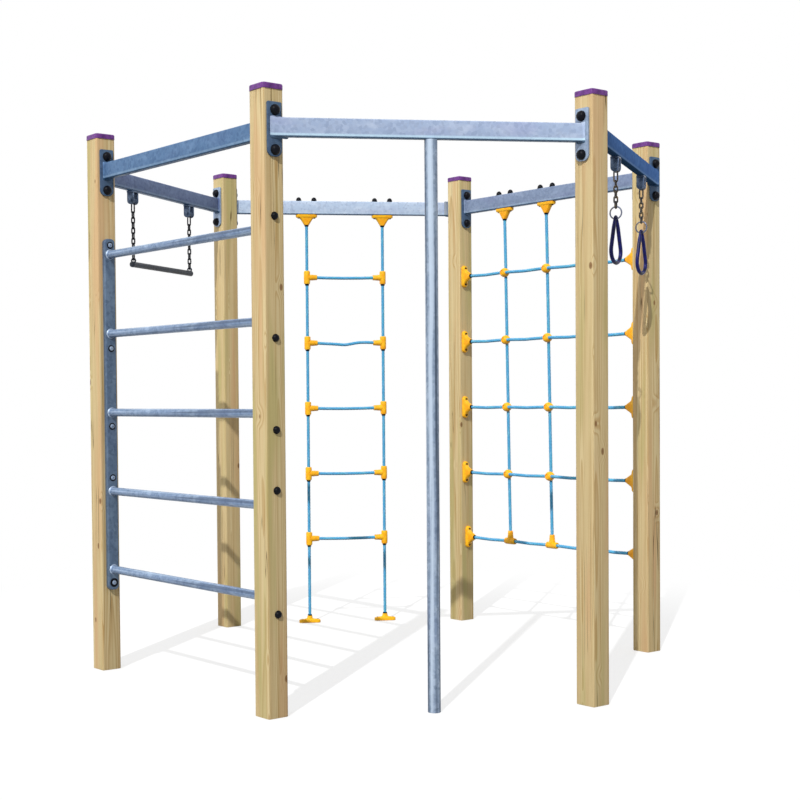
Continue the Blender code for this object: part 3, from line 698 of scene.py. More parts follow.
class Recipe:
    """The nodes of one material or of the world."""

    def __init__(self, tree: bpy.types.NodeTree) -> None:
        """Take a node tree.

        Args:
            tree: The tree that the nodes go into.
        """
        self.tree = tree

    @classmethod
    def start(cls, name: str) -> tuple[bpy.types.Material, "Recipe"]:
        """Start a material.

        Args:
            name: The material's name.

        Returns:
            The material and its recipe.
        """
        material = bpy.data.materials.new(name)
        material.use_nodes = True
        return material, cls(material.node_tree)

    def node(
        self,
        kind: str,
        settings: dict[str, Any] | None = None,
        inputs: dict[Any, Any] | None = None,
        output: str | int = 0,
    ) -> Value:
        """Add a node.

        Args:
            kind: The node's type.
            settings: Its own settings, set first.
            inputs: Values or links for its sockets, by name or number.
            output: The socket that is wanted.

        Returns:
            The wanted output.
        """
        made = self.tree.nodes.new(kind)
        for name, value in (settings or {}).items():
            setattr(made, name, value)
        for key, value in (inputs or {}).items():
            self.feed(made.inputs[key], value)
        return Value(self, made.outputs[output])

    def feed(self, socket: bpy.types.NodeSocket, value: Any) -> None:
        """Feed a socket.

        Args:
            socket: An input socket.
            value: A value to link, or a constant to set.
        """
        if isinstance(value, Value):
            self.tree.links.new(value.socket, socket)
        else:
            socket.default_value = value

    def shade(self, **sockets: Any) -> None:
        """Feed the shader's sockets, named in small letters with underscores.

        Args:
            **sockets: Values, links or constants.
        """
        shader = self.tree.nodes["Principled BSDF"]
        by_name = {socket.name.lower().replace(" ", "_"): socket for socket in shader.inputs}
        for name, value in sockets.items():
            self.feed(by_name[name], value)

    def own_frame(self, place: Matrix) -> Value:
        """Return coordinates in a piece's own frame.

        Args:
            place: Where that frame is in the object.

        Returns:
            The coordinates, in metres.
        """
        location, rotation, _ = place.inverted().decompose()
        return self.node("ShaderNodeMapping", {}, {
            "Vector": self.node("ShaderNodeTexCoord", output="Object"),
            "Location": location,
            "Rotation": rotation.to_euler(),
        })

    def stretched(self, vector: Value, factors: Triple | float) -> Value:
        """Multiply each coordinate.

        Args:
            vector: The coordinates.
            factors: A factor for each axis, or one for all.

        Returns:
            The stretched coordinates.
        """
        if isinstance(factors, float):
            factors = (factors, factors, factors)
        return self.node("ShaderNodeVectorMath", {"operation": "MULTIPLY"}, {0: vector, 1: factors})

    def axes(self, vector: Value) -> tuple[Value, Value, Value]:
        """Split a vector.

        Args:
            vector: The vector.

        Returns:
            Its three numbers.
        """
        outputs = self.node("ShaderNodeSeparateXYZ", {}, {0: vector}).socket.node.outputs
        return (Value(self, outputs[0]), Value(self, outputs[1]), Value(self, outputs[2]))

    def noise(
        self, vector: Value, factors: Triple | float, detail: float = 2.0, rough: float = 0.5
    ) -> Value:
        """Return a soft noise from 0 to 1.

        Args:
            vector: The coordinates.
            factors: Waves to the metre, along each axis or along all.
            detail: How many finer layers it has.
            rough: How strong the finer layers are.

        Returns:
            The noise.
        """
        inputs = {"Vector": self.stretched(vector, factors), "Scale": 1.0}
        inputs.update({"Detail": detail, "Roughness": rough})
        return self.node("ShaderNodeTexNoise", {}, inputs)

    def cells(self, vector: Value, factors: Triple | float, output: str = "Distance") -> Value:
        """Return the distance to the nearest cell's point, or the cell's own colour."""
        inputs = {"Vector": self.stretched(vector, factors), "Scale": 1.0}
        return self.node("ShaderNodeTexVoronoi", {}, inputs, output)

    def mix(self, share: Operand, first: Any, second: Any) -> Value:
        """Mix two colours, with this share of the second."""
        return self.node("ShaderNodeMix", {"data_type": "RGBA"}, {0: share, 6: first, 7: second}, 2)

    def coats(self, colour: Any, *coats: tuple[Operand, Any]) -> Any:
        """Lay coats of colour over each other.

        Args:
            colour: The ground colour.
            *coats: How much of each coat shows, and its colour.

        Returns:
            The mixed colour.
        """
        for share, over in coats:
            colour = self.mix(share, colour, over)
        return colour

    def relief(self, height: Value, depth: float, strength: float) -> Value:
        """Return a normal bumped by a height from 0 to 1, which stands for this depth."""
        inputs = {"Height": height, "Distance": depth, "Strength": strength}
        return self.node("ShaderNodeBump", {}, inputs)


class Finish:
    """What all finishes share: each makes one piece's material and names its slot of the record."""

    slot: Slot

    def material(self, name: str, place: Matrix) -> bpy.types.Material:
        """Make the material.

        Args:
            name: The material's name.
            place: The piece's own frame, turned the way the finish lies.

        Returns:
            The material.
        """
        made, recipe = Recipe.start(name)
        recipe.shade(**self.sockets(recipe, recipe.own_frame(place)))
        return made

    def sockets(self, recipe: Recipe, own: Value) -> dict[str, Any]:
        """Return what the shader's sockets get, from coordinates in the piece's own frame."""
        raise NotImplementedError


@dataclass(frozen=True)
class Timber(Finish):
    """Pressure-treated pine: rings round the pith, fibres, knots, checks and weather."""

    pith_x: float = 0.0
    pith_y: float = 0.0
    shift: float = 0.0
    ring: float = 0.0046
    early: Colour = srgb(228, 208, 158)
    late: Colour = srgb(190, 154, 96)
    rosy: Colour = srgb(220, 178, 130)
    mossy: Colour = srgb(190, 180, 116)
    dull: Colour = srgb(150, 122, 84)
    knot: Colour = srgb(128, 88, 48)
    check: Colour = srgb(104, 80, 46)
    slot: Slot = Slot.TIMBER

    def sockets(self, recipe: Recipe, own: Value) -> dict[str, Any]:
        """Grow the rings and knots, and weather them.

        Args:
            recipe: The material's recipe.
            own: Coordinates with Z up the post.

        Returns:
            The shader's sockets.
        """
        x, y, z = recipe.axes(own)
        spots = recipe.cells(own, (9.0, 9.0, 5.2))
        knots = spots.between(0.085, 0.055)
        bend = spots.between(0.30, 0.04)
        wander = recipe.noise(own, (9.0, 9.0, 1.1))
        radius = ((x - self.pith_x) ** 2 + (y - self.pith_y) ** 2) ** 0.5
        rings = ((radius + z * 0.0021 + wander * 0.020 + bend * 0.007) / self.ring).part()
        latewood = rings.between(0.35, 0.92) * rings.between(1.0, 0.94)
        streaks = recipe.noise(own, (75.0, 75.0, 1.4), 3.0, 0.6)
        fibres = recipe.noise(own, (620.0, 620.0, 9.0))
        broad = recipe.noise(own, (15.0, 15.0, 0.9))
        patches = recipe.noise(own, (22.0, 22.0, 3.0), 3.0)
        split = recipe.noise(own, (34.0, 34.0, 0.55), 1.0)
        where = recipe.noise(own, (12.0, 12.0, 2.2), 1.0)
        checks = (split - 0.5).size().between(0.0085, 0.0025) * where.between(0.52, 0.60)
        colour = recipe.coats(
            self.early,
            (latewood * 0.62 + streaks.between(0.42, 0.74) * 0.50, self.late),
            (broad.between(0.52, 0.70) * 0.70, self.rosy),
            (broad.between(0.48, 0.30) * 0.75, self.mossy),
            (fibres * 0.14 + patches * 0.14, self.dull),
            (knots * 0.85, self.knot),
            (spots.between(0.035, 0.015) * 0.5, self.check),
            (checks * 0.85, self.check),
        )
        height = latewood * 0.25 + fibres * 0.45 - checks * 1.2 - knots * 0.2
        return {
            "base_color": colour,
            "roughness": 0.60 + fibres * 0.16 + checks * 0.1,
            "specular_ior_level": 0.32,
            "normal": recipe.relief(height, 0.0007, 0.6),
        }


@dataclass(frozen=True)
class Galvanised(Finish):
    """Hot-dip zinc: spangles, pale and lavender clouds and dull spots.

    Streaks lie along X, with pale and dark changed over where they are below 0; on the pole they
    are set as a painted highlight between painted dark edges. A beam has painted shade on its
    underside and a painted reflection of the floor along its lower edge, and a rung has pale
    beads of weld at its ends.
    """

    tint: Colour = srgb(164, 182, 212)
    pale: Colour = srgb(204, 216, 236)
    cloud: Colour = srgb(158, 166, 204)
    dark: Colour = srgb(116, 130, 160)
    metallic: float = 0.20
    roughness: float = 0.42
    gloss: float = 0.22
    streaks: float = 0.0
    underside: float = 0.0
    painted_reflection: float = 0.2
    weld_at: float = 0.0
    # Colour of the painted reflection of the floor along a beam's lower edge
    run: Colour = srgb(204, 236, 255)
    # Colour of the painted shade on a beam's underside
    below: Colour = srgb(40, 74, 108)
    bead: Colour = srgb(214, 228, 242)
    slot: Slot = Slot.GALVANISED

    def sockets(self, recipe: Recipe, own: Value) -> dict[str, Any]:
        """Lay the zinc, then the streaks, a beam's painted reflection and shade, and the welds where it
        has them.

        Args:
            recipe: The material's recipe.
            own: Coordinates with X along the piece.

        Returns:
            The shader's sockets.
        """
        along, _, up = recipe.axes(own)
        drift = recipe.noise(own, (11.0, 26.0, 26.0), 3.0, 0.55)
        tone = recipe.noise(own, (4.5, 14.0, 14.0))
        crystal, cell, _ = recipe.axes(recipe.cells(own, 85.0, "Color"))
        specks = recipe.noise(own, 420.0)
        grime = recipe.noise(own, (30.0, 30.0, 9.0), 4.0, 0.65)
        coats = [
            (drift.between(0.48, 0.72) * 0.45, self.pale),
            (tone.between(0.50, 0.70) * 0.45, self.cloud),
            (crystal.between(0.25, 0.95) * 0.20, self.pale),
            (cell.between(0.50, 1.0) * 0.26, self.dark),
            (grime.between(0.56, 0.76) * 0.30, self.dark),
            (specks.between(0.60, 0.78) * 0.25, self.pale),
        ]
        if self.streaks:
            drawn = recipe.noise(own, (0.7, 52.0, 52.0))
            first, second = (self.dark, self.pale) if self.streaks > 0.0 else (self.pale, self.dark)
            coats.append((drawn.between(0.50, 0.62) * abs(self.streaks), first))
            coats.append((drawn.between(0.46, 0.34) * abs(self.streaks), second))
        if self.underside:
            height = up + self.underside
            # Painted reflection: a pale band along the beam's lower edge, where it would mirror the floor
            painted_reflection = height.between(0.016, 0.010) * (0.35 + drift * 0.7) * self.painted_reflection
            # Painted shade: the underside and its rounded edge darkened towards the below colour
            coats += [(painted_reflection, self.run), (height.between(0.0060, 0.0034) * 0.9, self.below)]
        if self.weld_at:
            bead = along.size().between(self.weld_at - 0.004, self.weld_at)
            coats.append((bead * (0.4 + specks * 0.5), self.bead))
        return {
            "base_color": recipe.coats(self.tint, *coats),
            "metallic": self.metallic,
            "specular_ior_level": self.gloss,
            "roughness": self.roughness + (cell - 0.5) * 0.16 + grime * 0.10,
            "normal": recipe.relief(crystal * 0.35 + specks * 0.4 + drift * 0.8, 0.0005, 0.45),
        }


@dataclass(frozen=True)
class Moulded(Finish):
    """Injection-moulded plastic with a fine grain, faded and dusty in places."""

    slot: Slot
    colour: Colour
    shade: Colour
    faded: Colour
    roughness: float
    coat: float
    specular: float
    grain: float = 900.0

    def sockets(self, recipe: Recipe, own: Value) -> dict[str, Any]:
        """Vary the colour as the plastic flowed, and wear it.

        Args:
            recipe: The material's recipe.
            own: Coordinates on the piece.

        Returns:
            The shader's sockets.
        """
        flow = recipe.noise(own, 38.0, 3.0, 0.55)
        wear = recipe.noise(own, 120.0, 4.0, 0.65)
        grain = recipe.noise(own, self.grain)
        worn = (wear.between(0.56, 0.80) * 0.5, self.faded)
        return {
            "base_color": recipe.coats(self.colour, (flow.between(0.40, 0.70), self.shade), worn),
            "roughness": self.roughness + wear * 0.16 + (grain - 0.5) * 0.1,
            "specular_ior_level": self.specular,
            "coat_weight": self.coat,
            "coat_roughness": 0.2,
            "normal": recipe.relief(grain * 0.7 + wear * 0.5, 0.0002, 0.35),
        }


@dataclass(frozen=True)
class Fibre(Finish):
    """Laid synthetic rope: yarns along each strand, one pale strand, fuzz, dirt and painted shade between
    the strands.
    """

    colour: Colour = srgb(84, 174, 220)
    painted_valley_shade: Colour = srgb(52, 138, 192)
    pale: Colour = srgb(150, 206, 232)
    green: Colour = srgb(86, 180, 204)
    slot: Slot = Slot.ROPE

    def sockets(self, recipe: Recipe, own: Value) -> dict[str, Any]:
        """Colour the strands along the rope's own UV map.

        Args:
            recipe: The material's recipe.
            own: Coordinates on the side.

        Returns:
            The shader's sockets.
        """
        around, along, _ = recipe.axes(recipe.node("ShaderNodeTexCoord", output="UV"))
        crown = (around * (6 * math.pi)).wave().size()
        yarns = (around * (60 * math.pi) + along * 900.0).wave() * 0.5 + 0.5
        marker = around.between(0.17, 0.19) * around.between(0.31, 0.29)
        blotch = recipe.noise(own, 26.0)
        fuzz = recipe.noise(own, 700.0, 3.0, 0.6)
        # Painted shade: the valleys between the strands are darker and the crowns take the rope's colour
        colour = recipe.coats(
            self.painted_valley_shade,
            (crown.between(0.15, 0.85), self.colour),
            (blotch.between(0.46, 0.66) * 0.5, self.green),
            (yarns * fuzz.between(0.35, 0.7) * 0.30, self.pale),
            (marker * (0.20 + fuzz * 0.4), self.pale),
        )
        return {
            "base_color": colour,
            "roughness": 0.72 + fuzz * 0.2,
            "specular_ior_level": 0.25,
            "sheen_weight": 0.15,
            "sheen_roughness": 0.5,
            "normal": recipe.relief(yarns * 0.6 + fuzz * 0.5, 0.0005, 0.6),
        }


@dataclass(frozen=True)
class Steel(Finish):
    """Plain or blackened steel: mill marks, worn patches and a warm or cold cast."""

    slot: Slot
    colour: Colour
    worn: Colour
    warm: Colour
    metallic: float = 0.7
    roughness: float = 0.38
    cast: float = 0.3

    def sockets(self, recipe: Recipe, own: Value) -> dict[str, Any]:
        """Wear the steel and give it its cast.

        Args:
            recipe: The material's recipe.
            own: Coordinates with X along the mill marks.

        Returns:
            The shader's sockets.
        """
        wear = recipe.noise(own, 140.0, 4.0, 0.65)
        patches = recipe.noise(own, 46.0)
        marks = recipe.noise(own, (60.0, 900.0, 900.0))
        worn = (wear.between(0.52, 0.74) * 0.7, self.worn)
        cast = (patches.between(0.45, 0.62) * self.cast, self.warm)
        return {
            "base_color": recipe.coats(self.colour, worn, cast),
            "metallic": self.metallic,
            "roughness": self.roughness + wear * 0.2 - marks * 0.06,
            "normal": recipe.relief(wear * 0.6 + marks * 0.5, 0.0003, 0.4),
        }


VIOLET = Moulded(
    Slot.CAP, srgb(114, 60, 138), srgb(80, 38, 104), srgb(156, 114, 170), 0.40, 0.05, 0.20
)
BLACK = Moulded(Slot.BLACK, srgb(8, 10, 19), srgb(4, 5, 9), srgb(24, 30, 46), 0.34, 0.0, 0.10)
ORANGE = Moulded(
    Slot.CLAMP, srgb(255, 192, 28), srgb(250, 168, 12), srgb(254, 212, 88), 0.38, 0.05, 0.30
)
NAVY = Moulded(
    Slot.LOOP, srgb(13, 17, 96), srgb(5, 6, 36), srgb(36, 46, 144), 0.32, 0.05, 0.16, 700.0
)
DARK_STEEL = Steel(Slot.CHAIN, srgb(20, 22, 29), srgb(56, 60, 72), srgb(34, 32, 31))
BRASSY = Steel(
    Slot.CHAIN, srgb(54, 53, 56), srgb(138, 132, 116), srgb(120, 102, 64), 0.75, 0.34, 0.5
)
RING_STEEL = Steel(
    Slot.HANGER, srgb(92, 98, 118), srgb(170, 178, 196), srgb(132, 124, 96), 0.8, 0.28, 0.4
)
BAR_PAINT = Steel(
    Slot.BAR, srgb(38, 44, 56), srgb(86, 94, 110), srgb(52, 54, 52), 0.55, 0.42, 0.4
)

# Each zinc piece reflects another part of the sky, so each has its own shades
HANGER_ZINC = Galvanised(
    srgb(66, 84, 110), srgb(136, 154, 180), srgb(56, 70, 100), srgb(28, 36, 54),
    metallic=0.30, roughness=0.34, gloss=0.15, slot=Slot.HANGER,
)
PLATE = Galvanised(
    srgb(138, 156, 180), srgb(176, 192, 212), srgb(126, 140, 172), srgb(88, 102, 128),
    metallic=0.25,
)
SHADED_PLATE = Galvanised(
    srgb(74, 98, 126), srgb(104, 128, 154), srgb(68, 84, 116), srgb(44, 56, 78),
    metallic=0.15, gloss=0.1,
)
# The pole's streaks are swapped so that the pale band faces the front as a painted highlight, between
# painted dark edges
POLE_ZINC = Galvanised(
    srgb(132, 150, 174), srgb(190, 206, 224), srgb(116, 132, 162), srgb(58, 74, 94),
    streaks=-0.85,
)
STRINGER_ZINC = Galvanised(
    srgb(84, 104, 128), srgb(120, 140, 162), srgb(74, 90, 120), srgb(50, 64, 84)
)
RUNG_ZINC = Galvanised(
    srgb(112, 134, 166), srgb(172, 192, 214), srgb(102, 120, 156), srgb(58, 74, 98),
    streaks=0.7,
)
# Beams get painted shade on the underside and a painted reflection along the lower edge, strongest on the
# front beam
BEAM_ZINC = Galvanised(metallic=0.15, underside=0.035)
BEAM_FINISHES = {
    Plan.FRONT: replace(BEAM_ZINC, painted_reflection=1.0),
    Plan.RIGHT_FRONT: replace(
        BEAM_ZINC, tint=srgb(84, 122, 182), pale=srgb(104, 144, 202), cloud=srgb(80, 110, 172),
        dark=srgb(62, 86, 130), metallic=0.0, gloss=0.0,
    ),
    Plan.RIGHT_BACK: replace(
        BEAM_ZINC, tint=srgb(122, 138, 166), pale=srgb(152, 168, 194), cloud=srgb(116, 126, 162),
        dark=srgb(84, 96, 124),
    ),
    Plan.BACK: replace(
        BEAM_ZINC, tint=srgb(180, 198, 222), pale=srgb(214, 226, 242), cloud=srgb(170, 182, 212)
    ),
    Plan.LEFT_BACK: replace(
        BEAM_ZINC, tint=srgb(92, 112, 152), pale=srgb(122, 142, 180), cloud=srgb(84, 98, 144),
        dark=srgb(60, 70, 98),
    ),
    Plan.LEFT_FRONT: replace(
        BEAM_ZINC, tint=srgb(82, 114, 152), pale=srgb(112, 144, 180), cloud=srgb(76, 102, 142),
        dark=srgb(56, 76, 108), gloss=0.1,
    ),
}


@dataclass
class Fitter:
    """Names finished pieces, dresses them and hangs them on their bodies."""

    fitted: list[str] = field(default_factory=list)

    def fit(
        self,
        piece: Piece,
        name: str,
        finish: Finish,
        place: Matrix,
        body: str = "frame",
        node: str = "",
        sharp: float = 32.0,
        grain: Matrix = Matrix(),
    ) -> None:
        """Finish one piece.

        Args:
            piece: The piece, in its own frame.
            name: The name it gets.
            finish: The finish that makes its material.
            place: Its frame in the object.
            body: The body it rides on.
            node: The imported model's node that it stands for, if it does.
            sharp: Edges sharper than this many degrees stay crisp.
            grain: The turn that lays the finish's X along the piece.
        """
        Bench.placed(piece, place)
        piece.name = name
        piece.data.name = name
        piece.data.materials.clear()
        piece.data.materials.append(finish.material(name, place @ grain))
        Bench.take(piece)
        bpy.ops.object.shade_smooth_by_angle(angle=math.radians(sharp))
        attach(piece, body)
        if node:
            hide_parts(node)
        self.fitted.append(name)
        LOG.info("%s: %d faces on %s", name, len(piece.data.polygons), body)


@dataclass
class TimberPost:
    """One post with its plastic cap and the covers of its two through bolts."""

    fitter: Fitter
    post: Post
    timber: Timber
    height: float = 2.315
    edge: float = 0.008
    end_edge: float = 0.002
    cap_half: float = 0.0480
    cap_base: float = 2.300
    cap_skirt: float = 0.021
    cap_corner: float = 0.015
    cap_edge: float = 0.0055
    cap_rise: float = 0.006
    cap_steps: tuple[tuple[float, float], ...] = ((0.6, 0.62), (0.3, 0.55), (0.1, 0.30))
    cover_seat: float = POST_WIDTH / 2 + 0.008 + 2 * GAP
    bolt_radius: float = 0.006
    bolt_heights: tuple[tuple[str, float], ...] = (("lower", 2.078), ("upper", 2.222))

    def build(self) -> None:
        """Build and dress every piece of the post."""
        label, place = self.post.label, self.post.place
        grain = moved(z=-self.timber.shift)
        node = "post_" + label
        self.fitter.fit(self.stem(), label + "_post", self.timber, place, node=node, grain=grain)
        self.fitter.fit(self.cap(), label + "_cap", VIOLET, place, node="cap_" + label)
        for level, height in self.bolt_heights:
            node = "bolt_" + label + "_" + level
            seat = place @ moved(z=height) @ self.post.bolt_turn
            self.fitter.fit(self.covers(), "covers_" + node, BLACK, seat, node=node)

    def stem(self) -> Piece:
        """Plane a square post with rounded edges and eased ends.

        Returns:
            The post, from the ground up.
        """
        height = self.height
        piece = Bench.box((POST_WIDTH, POST_WIDTH, height), (0.0, 0.0, height / 2))
        with Shaping(piece) as shape:
            shape.edges(lambda a, b: abs(a.z - b.z) > height / 2).bevel(self.edge, 5)
            shape.edges(lambda a, b: max(a.z, b.z) < NEAR).bevel(self.end_edge, 2)
            shape.edges(lambda a, b: min(a.z, b.z) > height - NEAR).bevel(self.end_edge, 1)
        return piece

    def cap(self) -> Piece:
        """Mould the cap: a skirt round the post's top under a low pyramid.

        Returns:
            The cap, in the post's frame.
        """
        width, top = 2 * self.cap_half, self.cap_base + self.cap_skirt
        wall = self.cap_half - POST_WIDTH / 2 - GAP
        piece = Bench.box((width, width, self.cap_skirt), (0.0, 0.0, (self.cap_base + top) / 2))
        with Shaping(piece) as shape:
            shape.edges(lambda a, b: abs(a.z - b.z) > self.cap_skirt / 2).bevel(self.cap_corner, 7)
            shape.edges(lambda a, b: min(a.z, b.z) > top - NEAR).bevel(self.cap_edge, 5)
            shape.faces(lambda middle, normal: normal.z > 0.99 and middle.z > top - NEAR)
            for share, factor in self.cap_steps:
                shape.extrude((0.0, 0.0, self.cap_rise * share))
                shape.grow((factor, factor, 1.0), (0.0, 0.0, top))
            shape.faces(lambda middle, normal: middle.z < self.cap_base + NEAR)
            shape.inset(wall).extrude((0.0, 0.0, self.height + GAP - self.cap_base))
        return piece

    def covers(self) -> Piece:
        """Mould the two domed covers of a through bolt, with the bolt between them.

        Returns:
            Both covers, along Z.
        """
        seat = self.cover_seat
        dome = lifted(seat, (0.0, 0.0200), (0.0035, 0.0200), (0.0045, 0.0192), (0.0085, 0.0184),
                      (0.0125, 0.0163), (0.0158, 0.0125), (0.0180, 0.0080), (0.0188, 0.0030))
        bolt = mirrored((-seat, self.bolt_radius))
        return Bench.joined([Bench.drawn(bolt + dome), Bench.drawn(flipped(dome))])


@dataclass
class Assembly:
    """A sub-assembly on one side of the frame."""

    fitter: Fitter
    side: Side

    def fit(self, piece: Piece, name: str, finish: Finish, place: Matrix, **options: Any) -> None:
        """Dress a piece whose place is given in the side's frame, as the Fitter does."""
        self.fitter.fit(piece, name, finish, self.side.place @ place, **options)


@dataclass
class TopBeam(Assembly):
    """One hollow top beam, mitred to its posts, with welded plates at its ends."""

    finish: Galvanised
    width: float = 0.030
    height: float = 0.070
    edge: float = 0.005
    plate: float = 0.008
    plate_width: float = 0.064
    plate_bottom: float = 2.054
    plate_top: float = 2.252
    plate_corners: tuple[float, float] = (0.024, 0.006)
    plate_edge: float = 0.0008
    weld: float = 0.005
    vent_radius: float = 0.005
    vent_depth: float = 0.006
    vent_from_end: float = 0.090
    sunny_face: int = 210

    @property
    def middle(self) -> float:
        """Return the height of the beam's axis."""
        return (BEAM_UNDERSIDE_Z + BEAM_TOP_Z) / 2

    def build(self) -> None:
        """Build the welded beam and its two end plates."""
        name = "beam_" + self.side.label
        beam = Bench.placed(self.tube(), moved(z=-self.middle))
        self.fit(beam, "top_" + name, self.finish, moved(z=self.middle), node=name)
        for end, label in enumerate(("first", "last")):
            at = self.side.at_end(end, GAP + self.plate / 2)
            at = at @ moved(z=(self.plate_top + self.plate_bottom) / 2)
            finish = PLATE if self.side.faces[end] == self.sunny_face else SHADED_PLATE
            self.fit(self.end_plate(), "plate_%s_%s" % (self.side.label, label), finish, at, grain=UPRIGHT)

    def tube(self) -> Piece:
        """Cut the hollow section to the skew of its posts, with its welds and vents.

        Returns:
            The beam, at its height in the side's frame.
        """
        overlong = self.side.length + 2 * self.plate_width
        piece = Bench.box((overlong, self.width, self.height), (0.0, 0.0, self.middle))
        with Shaping(piece) as shape:
            shape.edges(lambda a, b: abs(a.x - b.x) > overlong / 2).bevel(self.edge, 4)
            for end in (0, 1):
                self._mitre(shape, end)
        for way in (-1, 1):
            x = way * (self.side.length / 2 - self.vent_from_end)
            drill = Bench.drawn(mirrored((-self.vent_depth, self.vent_radius)))
            Bench.placed(drill, moved(x, 0.0, BEAM_UNDERSIDE_Z))
            Bench.modified(piece, "BOOLEAN", operation="DIFFERENCE", solver="EXACT", object=drill)
            Bench.discard(drill)
        return piece

    def _mitre(self, shape: Shaping, end: int) -> None:
        """Cut one end along its plate, and flare it where it is welded.

        Args:
            shape: The edit of the beam.
            end: 0 for the first post, 1 for the last.
        """
        face = self.side.at_end(end, GAP + self.plate)
        out = face.to_3x3() @ Vector((1.0, 0.0, 0.0))
        start = face.translation
        shape.slice(start, -out, drop_outer=True)
        shape.slice(start + out * self.weld, out)
        shape.points(lambda p: abs((p - start).dot(out)) < NEAR)
        across, tall = (1.0 + 2 * self.weld / size for size in (self.width, self.height))
        shape.grow((across, across, tall), (start.x, 0.0, self.middle))

    def end_plate(self) -> Piece:
        """Cut an end plate, with large corners below and small ones above.

        Returns:
            The plate, centred on the origin.
        """
        tall = self.plate_top - self.plate_bottom
        lower, upper = self.plate_corners
        piece = Bench.box((self.plate, self.plate_width, tall))
        with Shaping(piece) as shape:
            shape.edges(lambda a, b: abs(a.x - b.x) > self.plate / 2 and a.z < 0.0).bevel(lower, 8)
            shape.edges(lambda a, b: abs(a.x - b.x) > self.plate / 2 and a.z > tall / 2 - NEAR)
            shape.bevel(upper, 4)
        return Bench.eased(piece, self.plate_edge)


@dataclass
class SlidingPole(Assembly):
    """The pole from the ground to the beam that it is welded to."""

    radius: float = 0.02415
    wall: float = 0.0032
    foot_edge: float = 0.0006
    bore_depth: float = 0.300

    def build(self) -> None:
        """Draw the tube, open at its foot, up to the beam."""
        inside = self.radius - self.wall
        foot = [(self.bore_depth, inside), (0.0, inside), (0.0, self.radius - self.foot_edge)]
        heights = (self.foot_edge, 0.700, 1.400, BEAM_UNDERSIDE_Z - GAP)
        pole = Bench.drawn(foot + [(height, self.radius) for height in heights], 40)
        self.fit(pole, "pole", POLE_ZINC, Matrix(), node="sliding_pole", grain=UPRIGHT)


@dataclass
class WeldedLadder(Assembly):
    """The steel ladder: two stringers bolted to their posts and five welded rungs."""

    width: float = 0.050
    depth: float = 0.025
    bottom: float = 0.352
    top: float = 1.868
    end_radius: float = 0.018
    edge: float = 0.0045
    rung_radius: float = 0.01685
    bolt_heights: tuple[float, ...] = (0.383, 0.838, 1.060, 1.396, 1.840)
    lowest_washer: float = 1.3

    def build(self) -> None:
        """Build and dress every piece of the ladder."""
        for end, label in enumerate(("left", "right")):
            at_post = self.side.at_end(end, GAP)
            middle = at_post @ moved(z=(self.top + self.bottom) / 2)
            node = "" if end else "welded_ladder"
            name = "ladder_stringer_" + label
            self.fit(self.stringer(), name, STRINGER_ZINC, middle, node=node, grain=UPRIGHT)
            self.fit(self.heads(), "ladder_bolt_heads_" + label, PLATE, at_post)
            self.fit(self.seats(), "ladder_bolt_seats_" + label, BLACK, at_post)
            self.fit(self.covers(), "ladder_bolt_covers_" + label, BLACK, at_post)
        rung = self.rung()
        finish = replace(RUNG_ZINC, weld_at=self.rung_half)
        for number, height in enumerate(RUNG_HEIGHTS, start=1):
            self.fit(Bench.copied(rung), "ladder_rung_%d" % number, finish, moved(z=height))
        Bench.discard(rung)

    @property
    def rung_half(self) -> float:
        """Return half a rung's length between the stringers."""
        return self.side.length / 2 - self.depth - GAP

    def stringer(self) -> Piece:
        """Shape a flat tube with rounded ends.

        Returns:
            The stringer, centred on its height, with X out of the post.
        """
        tall = self.top - self.bottom
        piece = Bench.box((self.depth, self.width, tall), (self.depth / 2, 0.0, 0.0))
        with Shaping(piece) as shape:
            shape.edges(lambda a, b: abs(a.x - b.x) > self.depth / 2).bevel(self.end_radius, 8)
        return Bench.eased(piece, self.edge, 4)

    def rung(self) -> Piece:
        """Draw a rung, flared where it is welded.

        Returns:
            The rung, along X.
        """
        half, radius = self.rung_half, self.rung_radius
        weld = ((-half, radius + 0.0045), (-half + 0.0022, radius + 0.0026), (-half + 0.0050, radius))
        return Bench.placed(Bench.drawn(mirrored(*weld, (0.0, radius)), 28), ALONG_X)

    def heads(self) -> Piece:
        """Draw the button heads on the stringer.

        Returns:
            The five heads, with X out of the post.
        """
        head = lifted(self.depth, (-0.001, 0.0112), (0.0014, 0.0112), (0.0018, 0.0100),
                      (0.0030, 0.0098), (0.0050, 0.0088), (0.0064, 0.0060), (0.0068, 0.0034),
                      (0.0040, 0.0032))
        return self._at_bolts(Bench.drawn(head, 20))

    def seats(self) -> Piece:
        """Mould the washers under the heads, the lowest the largest.

        Returns:
            The washers, with X out of the post.
        """
        rings = lifted(self.depth, (0.0, 0.0145), (0.0012, 0.0150), (0.0020, 0.0140), (0.0020, 0.0060))
        washer = Bench.drawn(rings)
        larger = Matrix.Diagonal((self.lowest_washer, self.lowest_washer, 1.0, 1.0))
        lowest = Bench.copied(washer, moved(z=self.bolt_heights[0]) @ ALONG_X @ larger)
        return Bench.joined([self._at_bolts(washer), lowest])

    def covers(self) -> Piece:
        """Mould the domed covers behind the post.

        Returns:
            The five covers, with X out of the post.
        """
        back = POST_WIDTH + 2 * GAP
        dome = lifted(back, (0.0, 0.0150), (0.0025, 0.0150), (0.0034, 0.0142), (0.0075, 0.0130),
                      (0.0112, 0.0098), (0.0134, 0.0055), (0.0139, 0.0020))
        return self._at_bolts(Bench.drawn(flipped(dome), 20))

    def _at_bolts(self, pattern: Piece) -> Piece:
        """Repeat a pattern at each bolt, with its Z along X."""
        return Bench.repeated(pattern, [moved(z=height) @ ALONG_X for height in self.bolt_heights])


class Moulding(Enum):
    """The patterns of the rope clamps."""

    FLANGE = auto()
    COLLAR = auto()
    FOOT = auto()
    FOOT_COLLAR = auto()
    SCREWS = auto()
    NUTS = auto()
    TEE = auto()
    FERRULE = auto()
    BALL = auto()


